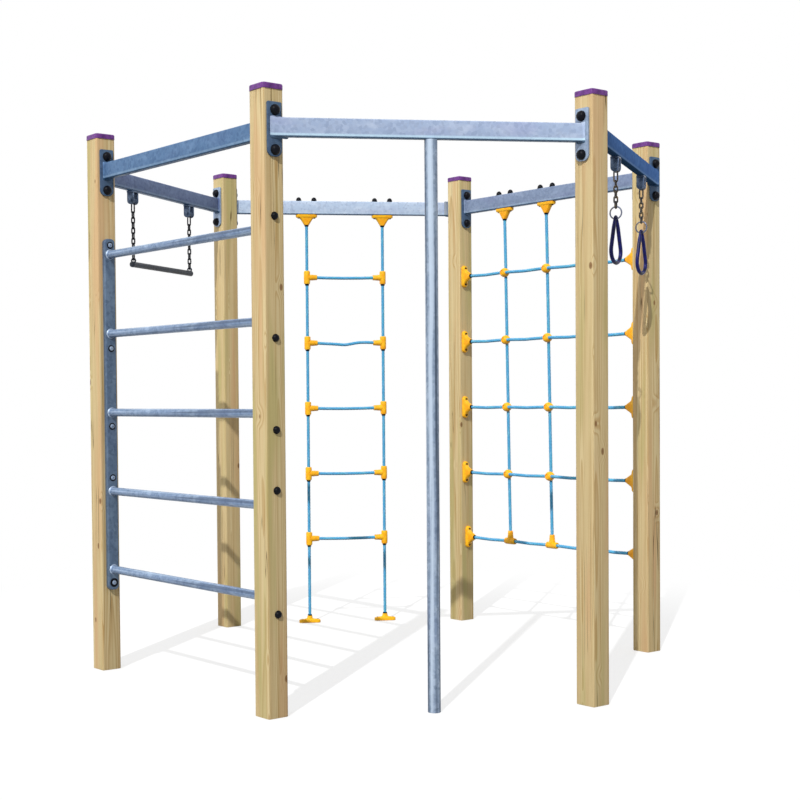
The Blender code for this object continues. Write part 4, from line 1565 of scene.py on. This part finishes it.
@dataclass
class Clamps:
    """The moulded rope clamps: each is modelled once and copied where it is needed."""

    flange_half: float = 0.039
    flange_radius: float = 0.017
    bolt_spacing: float = 0.040
    ball_radius: float = 0.024
    ball_flatness: float = 0.96
    ball_groove: float = 0.0016
    groove_share: float = 0.955
    screw_face: float = 0.90
    screw_rim: float = 0.0008
    screw_depth: float = 0.003
    seam_share: float = 0.045
    seam_rise: float = 1.035
    arm_seam_rise: float = 1.07
    patterns: dict[Moulding, Piece] = field(default_factory=dict)

    def prepare(self) -> None:
        """Model every pattern: flanges seat at z = 0 and hold a rope below it."""
        collar = [(-0.0500, 0.0098), (-0.0505, 0.0110), (-0.0590, 0.0108), (-0.0608, 0.0096),
                  (-0.0600, 0.0084)]
        foot_collar = [(-0.0350, 0.0092), (-0.0355, 0.0112), (-0.0425, 0.0110), (-0.0438, 0.0092)]
        ferrule = [(-0.0415, 0.0092), (-0.0405, 0.0104), (-0.0335, 0.0108), (-0.0330, 0.0090)]
        screw = [(-0.0100, 0.0068), (-0.0185, 0.0068), (-0.0195, 0.0058), (-0.0195, 0.0034),
                 (-0.0170, 0.0030)]
        above_beam = BEAM_TOP_Z - BEAM_UNDERSIDE_Z + GAP
        nut = lifted(above_beam, (0.0, 0.0145), (0.0030, 0.0145), (0.0040, 0.0136), (0.0095, 0.0128),
                     (0.0145, 0.0104), (0.0182, 0.0062), (0.0197, 0.0022))
        bolts = [moved(way * self.bolt_spacing) for way in (-1, 1)]
        self.patterns = {
            Moulding.FLANGE: self.flange(),
            Moulding.COLLAR: Bench.drawn(collar, 20),
            Moulding.FOOT: self.foot(),
            Moulding.FOOT_COLLAR: Bench.drawn(foot_collar, 20),
            Moulding.SCREWS: Bench.repeated(Bench.drawn(screw, 16), bolts),
            Moulding.NUTS: Bench.repeated(Bench.drawn(nut, 20), bolts),
            Moulding.TEE: self.tee(),
            Moulding.FERRULE: Bench.drawn(ferrule, 20),
            Moulding.BALL: self.ball(),
        }

    def copy(self, moulding: Moulding) -> Piece:
        """Copy one pattern."""
        return Bench.copied(self.patterns[moulding])

    def put_away(self) -> None:
        """Delete the patterns."""
        Bench.discard(*self.patterns.values())

    def flange(self) -> Piece:
        """Mould the clamp that holds a rope to a beam or a post.

        Returns:
            The clamp, with its rope down Z.
        """
        half, radius = self.flange_half, self.flange_radius
        plate = [(-GAP, radius - 0.0014, half), (-0.0016, radius, half), (-0.0105, radius, half)]
        shoulder = [(-0.0140, radius - 0.0012, half - 0.0010), (-0.0160, radius - 0.0032, half - 0.0040)]
        gusset = [(-0.0172, 0.0138, 0.0262), (-0.0200, 0.0136, 0.0222), (-0.0270, 0.0134, 0.0160),
                  (-0.0370, 0.0132, 0.0098), (-0.0480, 0.0134, 0.0030)]
        neck = [(-0.0530, 0.0134), (-0.0540, 0.0120), (-0.0525, 0.0100)]
        return Bench.drawn(plate + shoulder + gusset + neck, 32)

    def foot(self) -> Piece:
        """Mould the foot of a side rope: a thick flange with a short neck.

        Returns:
            The foot, with its rope down Z.
        """
        half, radius = self.flange_half, self.flange_radius
        plate = [(-GAP, radius - 0.0014, half), (-0.0016, radius, half), (-0.0135, radius, half)]
        shoulder = [(-0.0165, radius - 0.0012, half - 0.0012), (-0.0185, radius - 0.0030, half - 0.0060)]
        gusset = [(-0.0200, 0.0136, 0.0140), (-0.0225, 0.0132, 0.0050), (-0.0260, 0.0132, 0.0010)]
        neck = [(-0.0360, 0.0130), (-0.0372, 0.0118), (-0.0355, 0.0098)]
        return Bench.drawn(plate + shoulder + gusset + neck, 32)

    def tee(self) -> Piece:
        """Mould a tee: a barrel on the rope, an arm and the mould's seam.

        Returns:
            The tee, with its barrel along Z and its arm along +X.
        """
        barrel = mirrored((-0.0325, 0.0100), (-0.0340, 0.0125), (-0.0325, 0.0146), (-0.0280, 0.0158),
                          (-0.0120, 0.0160))
        arm = [(0.0020, 0.0156), (0.0180, 0.0154), (0.0250, 0.0142), (0.0360, 0.0132),
               (0.0480, 0.0126), (0.0510, 0.0116), (0.0520, 0.0100), (0.0505, 0.0090)]
        tee = Bench.joined([Bench.drawn(barrel, 28), Bench.placed(Bench.drawn(arm, 28), ALONG_X)])
        seam = Bench.copied(tee)
        with Shaping(seam) as shape:
            shape.everything().grow((1.0, self.seam_share, 1.0))
            shape.points(lambda p: abs(p.x) > 0.004).grow((self.seam_rise, 1.0, 1.0))
            shape.points(lambda p: p.x > 0.020).grow((1.0, 1.0, self.arm_seam_rise))
        return Bench.joined([tee, seam])

    def ball(self) -> Piece:
        """Mould the ball that clamps two crossing ropes, with its seam and screw holes.

        Returns:
            The ball, in halves screwed along Y.
        """
        bpy.ops.mesh.primitive_uv_sphere_add(
            segments=32, ring_count=18, radius=self.ball_radius, rotation=(math.pi / 2, 0.0, 0.0)
        )
        piece = Bench.settled()
        with Shaping(piece) as shape:
            shape.everything().grow((1.0, 1.0, self.ball_flatness))
            shape.edges(lambda a, b: max(abs(a.y), abs(b.y)) < NEAR).bevel(self.ball_groove, 2)
            shape.points(lambda p: abs(p.y) < 0.0003)
            shape.grow((self.groove_share, 1.0, self.groove_share))
            for way in (1, -1):
                shape.faces(lambda middle, normal: middle.y * way > self.ball_radius * self.screw_face)
                shape.inset(self.screw_rim).extrude((0.0, -way * self.screw_depth, 0.0))
        return piece


@dataclass
class Ropework(Assembly):
    """What the rope ladder and the net share: laid rope of six strands and its clamps."""

    clamps: Clamps
    radius: float = 0.008
    valley: float = 0.0013
    lay: float = 0.095
    step: float = 0.005
    sag: float = 0.003

    def lobes(self, angle: float, _: int) -> float:
        """Return the radius over the strands."""
        return self.radius - self.valley * (1.0 - abs(math.sin(3 * angle)) ** 0.7)

    def fit_rope(self, name: str, node: str, points: Sequence[Triple], rounds: int = 10) -> None:
        """Lay a rope along a bent line.

        Args:
            name: The rope's name.
            node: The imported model's node that it stands for.
            points: The line's corners, in the side's XZ plane.
            rounds: How much its bends are rounded.
        """
        rope = swept(evenly(points, self.step, rounds), self.lobes, 24, self.lay)
        self.fit(rope, name, Fibre(), Matrix(), node=node, sharp=60)

    def fit_flange(self, name: str, at: Matrix, bolted: bool = False, foot: bool = False) -> None:
        """Fit a flange clamp with its collar and screws, and nuts where it is bolted through.

        Args:
            name: The clamp's name.
            at: The frame of its seat.
            bolted: Whether its bolts go through the beam.
            foot: Whether it is the foot of a side rope.
        """
        clamp = self.clamps.copy(Moulding.FOOT if foot else Moulding.FLANGE)
        collar = self.clamps.copy(Moulding.FOOT_COLLAR if foot else Moulding.COLLAR)
        bolts = [Moulding.SCREWS, Moulding.NUTS] if bolted else [Moulding.SCREWS]
        self.fit(clamp, name + "_clamp", ORANGE, at)
        self.fit(collar, name + "_collar", BLACK, at)
        self.fit(Bench.joined([self.clamps.copy(part) for part in bolts]), name + "_bolts", BLACK, at)


@dataclass
class RopeLadder(Ropework):
    """Two held ropes with their clamps and feet, and five rope rungs with tees."""

    spread: float = 0.200
    insert: float = 0.030
    kinked: int = 2
    kink: tuple[tuple[float, float], ...] = (
        (-0.11, 0.0025), (-0.07, 0.002), (0.0, -0.0105), (0.065, -0.0055)
    )

    def build(self) -> None:
        """Build and dress every piece of the rope ladder."""
        for label, x in (("right", -self.spread), ("left", self.spread)):
            line = [(x, 0.0, self.insert), (x, 0.0, BEAM_UNDERSIDE_Z - self.insert)]
            self.fit_rope("ladder_side_rope_" + label, "rope_ladder_side_rope_" + label, line)
            self.fit_flange("ladder_top_" + label, moved(x, 0.0, BEAM_UNDERSIDE_Z), bolted=True)
            self.fit_flange("ladder_foot_" + label, moved(x) @ UPSIDE_DOWN @ moved(z=GAP), foot=True)
        for number, z in enumerate(RUNG_HEIGHTS, start=1):
            self.rung(number, z)

    def rung(self, number: int, z: float) -> None:
        """Build one rope rung with its two tees.

        Args:
            number: The rung's number from the top.
            z: Its height.
        """
        line = [(x, 0.0, z + lift) for x, lift in self.route(number)]
        self.fit_rope("ladder_rope_rung_%d" % number, "rope_ladder_rung_%d" % number, line)
        for label, x, turn in (("right", -self.spread, 0.0), ("left", self.spread, 180.0)):
            at = moved(x, 0.0, z) @ turned(turn)
            name = "%s_%d" % (label, number)
            self.fit(self.clamps.copy(Moulding.TEE), "ladder_tee_" + name, ORANGE, at)
            self.fit(self.clamps.copy(Moulding.FERRULE), "ladder_ferrule_" + name, BLACK, at)

    def route(self, number: int) -> list[tuple[float, float]]:
        """Return a rung's line: one rung is kinked, and the others sag.

        Args:
            number: The rung's number from the top.

        Returns:
            The line's corners, as x and lift.
        """
        reach = self.spread - self.insert
        near = -self.sag * 0.75
        inner = ((-reach / 2, near), (0.0, -self.sag), (reach / 2, near))
        return [(-reach, 0.0), *(self.kink if number == self.kinked else inner), (reach, 0.0)]


@dataclass
class RopeNet(Ropework):
    """Five cross ropes clamped to the posts and three hanging ropes behind them."""

    offsets: tuple[tuple[str, float], ...] = (("left", 0.285), ("middle", 0.0), ("right", -0.285))
    drift: float = 0.030
    row_offset: float = 0.0175
    row_insert: float = 0.035
    straight: float = 0.026

    def crossing(self, offset: float, z: float) -> float:
        """Return where a hanging rope crosses this height."""
        return offset - self.drift * (BEAM_UNDERSIDE_Z - z) / (BEAM_UNDERSIDE_Z - RUNG_HEIGHTS[-1])

    def build(self) -> None:
        """Build and dress every piece of the net."""
        for number, z in enumerate(RUNG_HEIGHTS, start=1):
            self.row(number, z)
        for label, offset in self.offsets:
            self.hanging(label, offset)

    def row(self, number: int, z: float) -> None:
        """Build one cross rope with its end clamps and the balls on it.

        Args:
            number: The row's number from the top.
            z: Its height.
        """
        last = number == len(RUNG_HEIGHTS)
        y = 0.0 if last else self.row_offset
        line = self.row_route(z, y)
        self.fit_rope("cross_rope_%d" % number, "net_cross_rope_%d" % number, line, 6)
        half = self.side.length / 2
        for label, x, turn in (("right", -half, UPRIGHT), ("left", half, ALONG_X)):
            self.fit_flange("net_%s_%d" % (label, number), moved(x, y, z) @ turn)
        for label, offset in () if last else self.offsets:
            at = moved(self.crossing(offset, z), y / 2, z)
            self.fit(self.clamps.copy(Moulding.BALL), "net_ball_%s_%d" % (label, number), ORANGE, at)

    def row_route(self, z: float, y: float) -> list[Triple]:
        """Return a cross rope's line: straight in its clamps, with a slight sag between.

        Args:
            z: The row's height.
            y: How far inside the side's plane it is.

        Returns:
            The line's corners.
        """
        reach = self.side.length / 2 - self.row_insert
        stops = [-reach] + sorted(self.crossing(offset, z) for _, offset in self.offsets) + [reach]
        route: list[Triple] = []
        for index, x in enumerate(stops):
            inner = 0 < index < len(stops) - 1
            route += [(x - self.straight, y, z), (x + self.straight, y, z)] if inner else [(x, y, z)]
            if index < len(stops) - 1:
                route.append(((x + stops[index + 1]) / 2, y, z - self.sag))
        return route

    def hanging(self, label: str, offset: float) -> None:
        """Build one hanging rope with its top clamp and its tee.

        Args:
            label: The rope's name.
            offset: Where it leaves the beam.
        """
        top, bottom = BEAM_UNDERSIDE_Z, RUNG_HEIGHTS[-1]
        route: list[Triple] = [(offset, 0.0, top - 0.030), (offset, 0.0, top - 0.070)]
        for z in RUNG_HEIGHTS[:-1]:
            x = self.crossing(offset, z)
            route += [(x, 0.0, z + self.straight), (x, 0.0, z - self.straight)]
        x = self.crossing(offset, bottom)
        route += [(x, 0.0, bottom + 0.070), (x, 0.0, bottom + 0.020)]
        self.fit_rope("hanging_rope_" + label, "net_hanging_rope_" + label, route)
        self.fit_flange("net_top_" + label, moved(offset, 0.0, top), bolted=True)
        arm_up = moved(x, 0.0, bottom) @ UPRIGHT
        self.fit(self.clamps.copy(Moulding.TEE), "net_tee_" + label, ORANGE, arm_up)


@dataclass
class Hanger(Assembly):
    """A hanger bracket under a beam: a plate, two cheeks, their pin and its bearing."""

    x: float
    name: str
    body: str
    length: float = 0.058
    depth: float = 0.034
    plate: float = 0.006
    plate_corner: float = 0.004
    plate_edge: float = 0.0008
    cheek: float = 0.006
    cheek_edge: float = 0.0007
    cheek_roundness: float = 0.48
    gap: float = 0.033
    pin_z: float = 2.082

    def build(self) -> None:
        """Build the bracket, and the bearing barrel that rides on the swinging body."""
        pieces = [self.top_plate(), self.make_cheek(-1), self.make_cheek(1), self.pin()]
        bracket = Bench.joined(pieces)
        self.fit(bracket, "bracket_" + self.name, HANGER_ZINC, moved(self.x), node=self.name)
        at_pin = moved(self.x, 0.0, self.pin_z)
        self.fit(self.barrel(), "barrel_" + self.name, HANGER_ZINC, at_pin, body=self.body)

    def top_plate(self) -> Piece:
        """Cut the plate under the beam, with rounded corners.

        Returns:
            The plate, at its height.
        """
        top = BEAM_UNDERSIDE_Z - GAP
        piece = Bench.box((self.length, self.depth, self.plate), (0.0, 0.0, top - self.plate / 2))
        with Shaping(piece) as shape:
            shape.edges(lambda a, b: abs(a.z - b.z) > self.plate / 2).bevel(self.plate_corner, 4)
        return Bench.eased(piece, self.plate_edge)

    def make_cheek(self, way: int) -> Piece:
        """Cut a cheek with a round lower end.

        Args:
            way: -1 or 1, for its side of the bearing.

        Returns:
            The cheek, at its place on the plate.
        """
        top = BEAM_UNDERSIDE_Z - GAP - self.plate / 2
        low = self.pin_z - self.depth / 2
        at = (way * (self.gap + self.cheek) / 2, 0.0, (top + low) / 2)
        piece = Bench.box((self.cheek, self.depth, top - low), at)
        with Shaping(piece) as shape:
            shape.edges(lambda a, b: abs(a.x - b.x) > self.cheek / 2 and a.z < low + NEAR)
            shape.bevel(self.depth * self.cheek_roundness, 8)
        return Bench.eased(piece, self.cheek_edge)

    def pin(self) -> Piece:
        """Turn the pin with its two heads.

        Returns:
            The pin, along X at its height.
        """
        half = self.gap / 2 + self.cheek
        pin = Bench.drawn(mirrored((-half - 0.0040, 0.0060), (-half - 0.0034, 0.0078), (-half, 0.0080),
                                   (-half + 0.001, 0.0050)), 20)
        return Bench.placed(pin, moved(z=self.pin_z) @ ALONG_X)

    def barrel(self) -> Piece:
        """Turn the bearing barrel between the cheeks, with a groove for the chain's eye.

        Returns:
            The barrel, along X about the pin.
        """
        half = self.gap / 2 - 0.0006
        barrel = Bench.drawn(mirrored((-half, 0.0100), (-half, 0.0132), (-half + 0.0016, 0.0148),
                                      (-0.0050, 0.0150), (-0.0040, 0.0138)), 28)
        return Bench.placed(barrel, ALONG_X)


@dataclass
class Chain:
    """A hanging chain: the eye in the bearing and interlocked welded links."""

    count: int
    end_z: float
    twist: float = 0.0
    wire: float = 0.0033
    half_width: float = 0.0072
    crown_wires: float = 1.7
    eye_top: float = 2.071
    eye_bottom: float = 2.026

    def build(self) -> Piece:
        """Link up the chain.

        Returns:
            The chain, hanging at x = 0 in its side's frame.
        """
        pieces = [self.one(self.eye_top, self.eye_bottom, 90.0)]
        pitch = (self.eye_bottom - self.end_z) / self.count
        for number in range(self.count):
            bearing = self.eye_bottom - pitch * number
            angle = 90.0 * (number % 2) + self.twist * (number + 1) / self.count
            pieces.append(self.one(bearing + self.crown_wires * self.wire, bearing - pitch, angle))
        return Bench.joined(pieces)

    def one(self, top: float, bottom: float, angle: float) -> Piece:
        """Make one link between two crown heights, turned by this angle."""
        piece = Bench.link(self.half_width, self.wire, (top - bottom) / 2 - self.half_width)
        return Bench.placed(piece, moved(z=(top + bottom) / 2) @ turned(angle))


@dataclass
class Trapeze(Assembly):
    """The bar on two chains, which swing together under the left back beam."""

    spread: float = 0.270
    half: float = 0.287
    radius: float = 0.01345
    groove: float = 0.0005
    links: int = 9
    chain_end: float = 1.8126
    lug_radius: float = 0.010
    lug_wire: float = 0.0035
    lug_z: float = 1.8096
    bar_z: float = 1.79215

    def build(self) -> None:
        """Build and dress every piece of the trapeze."""
        body = "trapeze_chains"
        for label, x in (("back", -self.spread), ("front", self.spread)):
            Hanger(self.fitter, self.side, x, "trapeze_hanger_" + label, body).build()
            chain = Chain(self.links, self.chain_end).build()
            node = "trapeze_chain_" + label
            self.fit(chain, "links_trapeze_" + label, DARK_STEEL, moved(x), body=body, node=node)
        at = moved(z=self.bar_z)
        self.fit(self.bar(), "bar_of_trapeze", BAR_PAINT, at, body="trapeze_bar", node="trapeze_bar")

    def bar(self) -> Piece:
        """Turn the bar with its end plugs, and weld its two eyes on.

        Returns:
            The bar, along X.
        """
        half, radius = self.half, self.radius
        plug = ((-half, 0.0080), (-half + 0.0010, 0.0112), (-half + 0.0040, radius))
        rim = ((-half + 0.0120, radius), (-half + 0.0124, radius - self.groove))
        rings = mirrored(*plug, *rim, (0.0, radius - self.groove))
        pieces = [Bench.placed(Bench.drawn(rings, 28), ALONG_X)]
        for x in (-self.spread, self.spread):
            eye = Bench.link(self.lug_radius, self.lug_wire)
            weld = Bench.drawn([(0.0105, 0.0085), (0.0122, 0.0072), (0.0142, 0.0045)], 16)
            pieces.append(Bench.placed(eye, moved(x, 0.0, self.lug_z - self.bar_z) @ turned(90)))
            pieces.append(Bench.placed(weld, moved(x)))
        return Bench.joined(pieces)


@dataclass
class HandLoop(Assembly):
    """A hand loop: bracket, short chain, round steel ring and moulded grip."""

    number: int
    x: float
    links: int = 5
    chain_end: float = 1.9215
    twist: float = -12.0
    ring_radius: float = 0.0245
    ring_z: float = 1.9035
    wire: float = 0.003
    crown_radius: float = 0.0098
    grip_radius: float = 0.047
    bottom: float = 1.696
    thin: float = 0.0060
    thick: float = 0.0085
    taper: float = 0.034
    seam: float = 0.0005

    def build(self) -> None:
        """Build and dress every piece of the hand loop."""
        name = "hand_loop_%d" % self.number
        swing, tilt = name + "_swing", name + "_grip"
        Hanger(self.fitter, self.side, self.x, name + "_hanger", swing).build()
        chain = Chain(self.links, self.chain_end, self.twist).build()
        self.fit(chain, "links_" + name, BRASSY, moved(self.x), body=swing, node=name + "_chain")
        place = moved(self.x) @ turned(self.twist)
        at_ring = place @ moved(z=self.ring_z)
        ring = Bench.placed(Bench.link(self.ring_radius, self.wire), turned(90))
        node = name + "_steel_ring"
        self.fit(ring, "ring_of_" + name, RING_STEEL, at_ring, body=swing, node=node)
        self.fit(self.grip(), "grip_of_" + name, NAVY, place, body=tilt, node=name + "_grip", sharp=60)

    def grip(self) -> Piece:
        """Mould the teardrop: thin over the ring, thick where it is held.

        Returns:
            The grip, in the XZ plane at its height.
        """
        bearing = self.ring_z - self.ring_radius + self.wire + self.seam
        crown_z = bearing + self.thin - self.crown_radius
        grip_z = self.bottom + self.thick + self.grip_radius
        lean = math.asin((self.grip_radius - self.crown_radius) / (crown_z - grip_z))
        corners: list[Triple] = []
        for radius, middle, start, sweep, count in (
            (self.crown_radius, crown_z, lean, math.pi - 2 * lean, 10),
            (self.grip_radius, grip_z, math.pi - lean, math.pi + 2 * lean, 36),
        ):
            for step in range(count + 1):
                turn = start + sweep * step / count
                corners.append((radius * math.cos(turn), 0.0, middle + radius * math.sin(turn)))
        line = evenly(corners + [corners[0]], 0.003)[:-1]

        def section(angle: float, index: int) -> float:
            """Return the radius, with the mould's seam on its two sides.

            Args:
                angle: The angle round the section.
                index: The point's number on the line.

            Returns:
                The radius.
            """
            share = min(1.0, max(0.0, 1.0 - (crown_z - line[index].z) / self.taper))
            seam = self.seam * max(0.0, abs(math.sin(angle)) - 0.97) / 0.03
            return self.thick + (self.thin - self.thick) * share - self.seam + seam

        return swept(line, section, 20, closed=True)


@dataclass(frozen=True)
class Lamp:
    """A far lamp: its compass angle, height and width in degrees, and its strength."""

    compass: float
    height: float
    strength: float
    width: float

    def hang(self) -> None:
        """Hang the lamp."""
        rise = math.radians(self.height)
        towards = heading(self.compass) * math.cos(rise) + Vector((0.0, 0.0, math.sin(rise)))
        bpy.ops.object.light_add(type="SUN", location=towards * 5)
        lamp = Bench.newest()
        lamp.rotation_euler = towards.to_track_quat("Z", "Y").to_euler()
        lamp.data.energy = self.strength
        lamp.data.angle = math.radians(self.width)


@dataclass
class Studio:
    """The camera at the photograph's angle, the pale floor and the soft light."""

    eye: Vector = field(default_factory=lambda: Vector((-1.144, -6.305, 1.180)))
    yaw: float = math.radians(7.40)
    pitch: float = math.radians(-1.65)
    roll: float = math.radians(-0.50)
    lens: float = 64.4
    axis_pixel: tuple[float, float] = (310.0, 438.1)
    frame_pixels: float = 800.0
    ambient: float = 0.52
    lamps: tuple[Lamp, ...] = (
        Lamp(244.5, 40.3, 2.7, 0.6),
        Lamp(172.0, 22.0, 0.8, 70.0),
        Lamp(75.0, 25.0, 0.7, 80.0),
    )
    floor_radius: float = 24.0
    floor_fade: tuple[float, float] = (1.5, 3.4)
    floor_glow: float = 0.66
    floor_colour: Colour = srgb(248, 248, 248)
    bounce_colour: Colour = srgb(118, 118, 120)

    def build(self) -> None:
        """Set up the camera, the light, the floor and the view."""
        self.camera()
        for lamp in self.lamps:
            lamp.hang()
        self.floor()
        self.world()
        bpy.context.scene.view_settings.view_transform = "Standard"

    def camera(self) -> None:
        """Stand the camera where the photograph was taken from."""
        yaw, pitch = self.yaw, self.pitch
        level_ahead = Vector((math.sin(yaw), math.cos(yaw), 0.0))
        ahead = level_ahead * math.cos(pitch) + Vector((0.0, 0.0, math.sin(pitch)))
        level = Vector((math.cos(yaw), -math.sin(yaw), 0.0))
        right = level * math.cos(self.roll) + level.cross(ahead) * math.sin(self.roll)
        bpy.ops.object.camera_add(location=self.eye)
        camera = Bench.newest()
        axes = Matrix((right, right.cross(ahead), -ahead)).transposed().to_4x4()
        camera.matrix_world = moved(*self.eye) @ axes
        camera.data.lens = self.lens
        camera.data.shift_x = (self.frame_pixels / 2 - self.axis_pixel[0]) / self.frame_pixels
        camera.data.shift_y = (self.axis_pixel[1] - self.frame_pixels / 2) / self.frame_pixels
        bpy.context.scene.camera = camera

    def floor(self) -> None:
        """Lay a pale floor that fades to the white background."""
        bpy.ops.mesh.primitive_circle_add(vertices=96, radius=self.floor_radius, fill_type="NGON")
        floor = Bench.newest()
        floor.name = "studio_floor"
        material, recipe = Recipe.start("pale_floor")
        x, y, _ = recipe.axes(recipe.node("ShaderNodeTexCoord", output="Object"))
        far = ((x ** 2 + y ** 2) ** 0.5).between(*self.floor_fade)
        camera, seen = self.rays(recipe)
        share = camera * (self.floor_glow + far * (1.0 - self.floor_glow))
        colour = recipe.mix(seen, self.bounce_colour, self.floor_colour)
        recipe.shade(base_color=colour, roughness=0.9, specular_ior_level=0.1)
        white = {"Color": (1.0, 1.0, 1.0, 1.0), "Strength": 1.0}
        glow = recipe.node("ShaderNodeEmission", {}, white)
        plain = Value(recipe, recipe.tree.nodes["Principled BSDF"].outputs[0])
        surface = recipe.node("ShaderNodeMixShader", {}, {0: share, 1: plain, 2: glow})
        recipe.feed(recipe.tree.nodes["Material Output"].inputs["Surface"], surface)
        floor.data.materials.append(material)

    @staticmethod
    def rays(recipe: Recipe) -> tuple[Value, Value]:
        """Tell the rays apart.

        Args:
            recipe: The recipe that asks.

        Returns:
            Which rays are the camera's, and which ones see the background.
        """
        camera = recipe.node("ShaderNodeLightPath", output="Is Camera Ray")
        outputs = camera.socket.node.outputs
        glossy = Value(recipe, outputs["Is Glossy Ray"])
        through = Value(recipe, outputs["Is Transmission Ray"])
        return camera, camera.most(glossy).most(through)

    def world(self) -> None:
        """Surround the object with even light under a white background."""
        world = bpy.data.worlds.new("studio")
        world.use_nodes = True
        bpy.context.scene.world = world
        recipe = Recipe(world.node_tree)
        _, seen = self.rays(recipe)
        background = world.node_tree.nodes["Background"]
        recipe.feed(background.inputs["Color"], (1.0, 1.0, 1.0, 1.0))
        recipe.feed(background.inputs["Strength"], seen * (1.0 - self.ambient) + self.ambient)


def main() -> None:
    """Build every sub-assembly in order and dress it."""
    logging.basicConfig(level=logging.INFO, format="%(message)s")
    bpy.ops.object.select_all(action="DESELECT")
    Studio().build()
    fitter = Fitter()
    timbers = {
        Post.FRONT_LEFT: Timber(0.012, -0.020, 0.3),
        Post.FRONT_RIGHT: Timber(-0.030, 0.010, 3.1),
        Post.RIGHT: Timber(0.020, 0.025, 6.7),
        Post.BACK_RIGHT: Timber(0.050, 0.010, 9.2),
        Post.BACK_LEFT: Timber(-0.015, -0.050, 12.4),
        Post.LEFT: Timber(0.000, 0.035, 15.8),
    }
    for post, timber in timbers.items():
        TimberPost(fitter, post, timber).build()
    sides = {plan: Side(plan) for plan in Plan}
    for plan, side in sides.items():
        TopBeam(fitter, side, BEAM_FINISHES[plan]).build()
    SlidingPole(fitter, sides[Plan.FRONT]).build()
    WeldedLadder(fitter, sides[Plan.LEFT_FRONT]).build()
    clamps = Clamps()
    clamps.prepare()
    RopeLadder(fitter, sides[Plan.BACK], clamps).build()
    RopeNet(fitter, sides[Plan.RIGHT_BACK], clamps).build()
    clamps.put_away()
    Trapeze(fitter, sides[Plan.LEFT_BACK]).build()
    for number, x in ((1, -0.275), (2, 0.275)):
        HandLoop(fitter, sides[Plan.RIGHT_FRONT], number, x).build()
    LOG.info("%d pieces fitted", len(fitter.fitted))


if __name__ == "__main__":
    main()
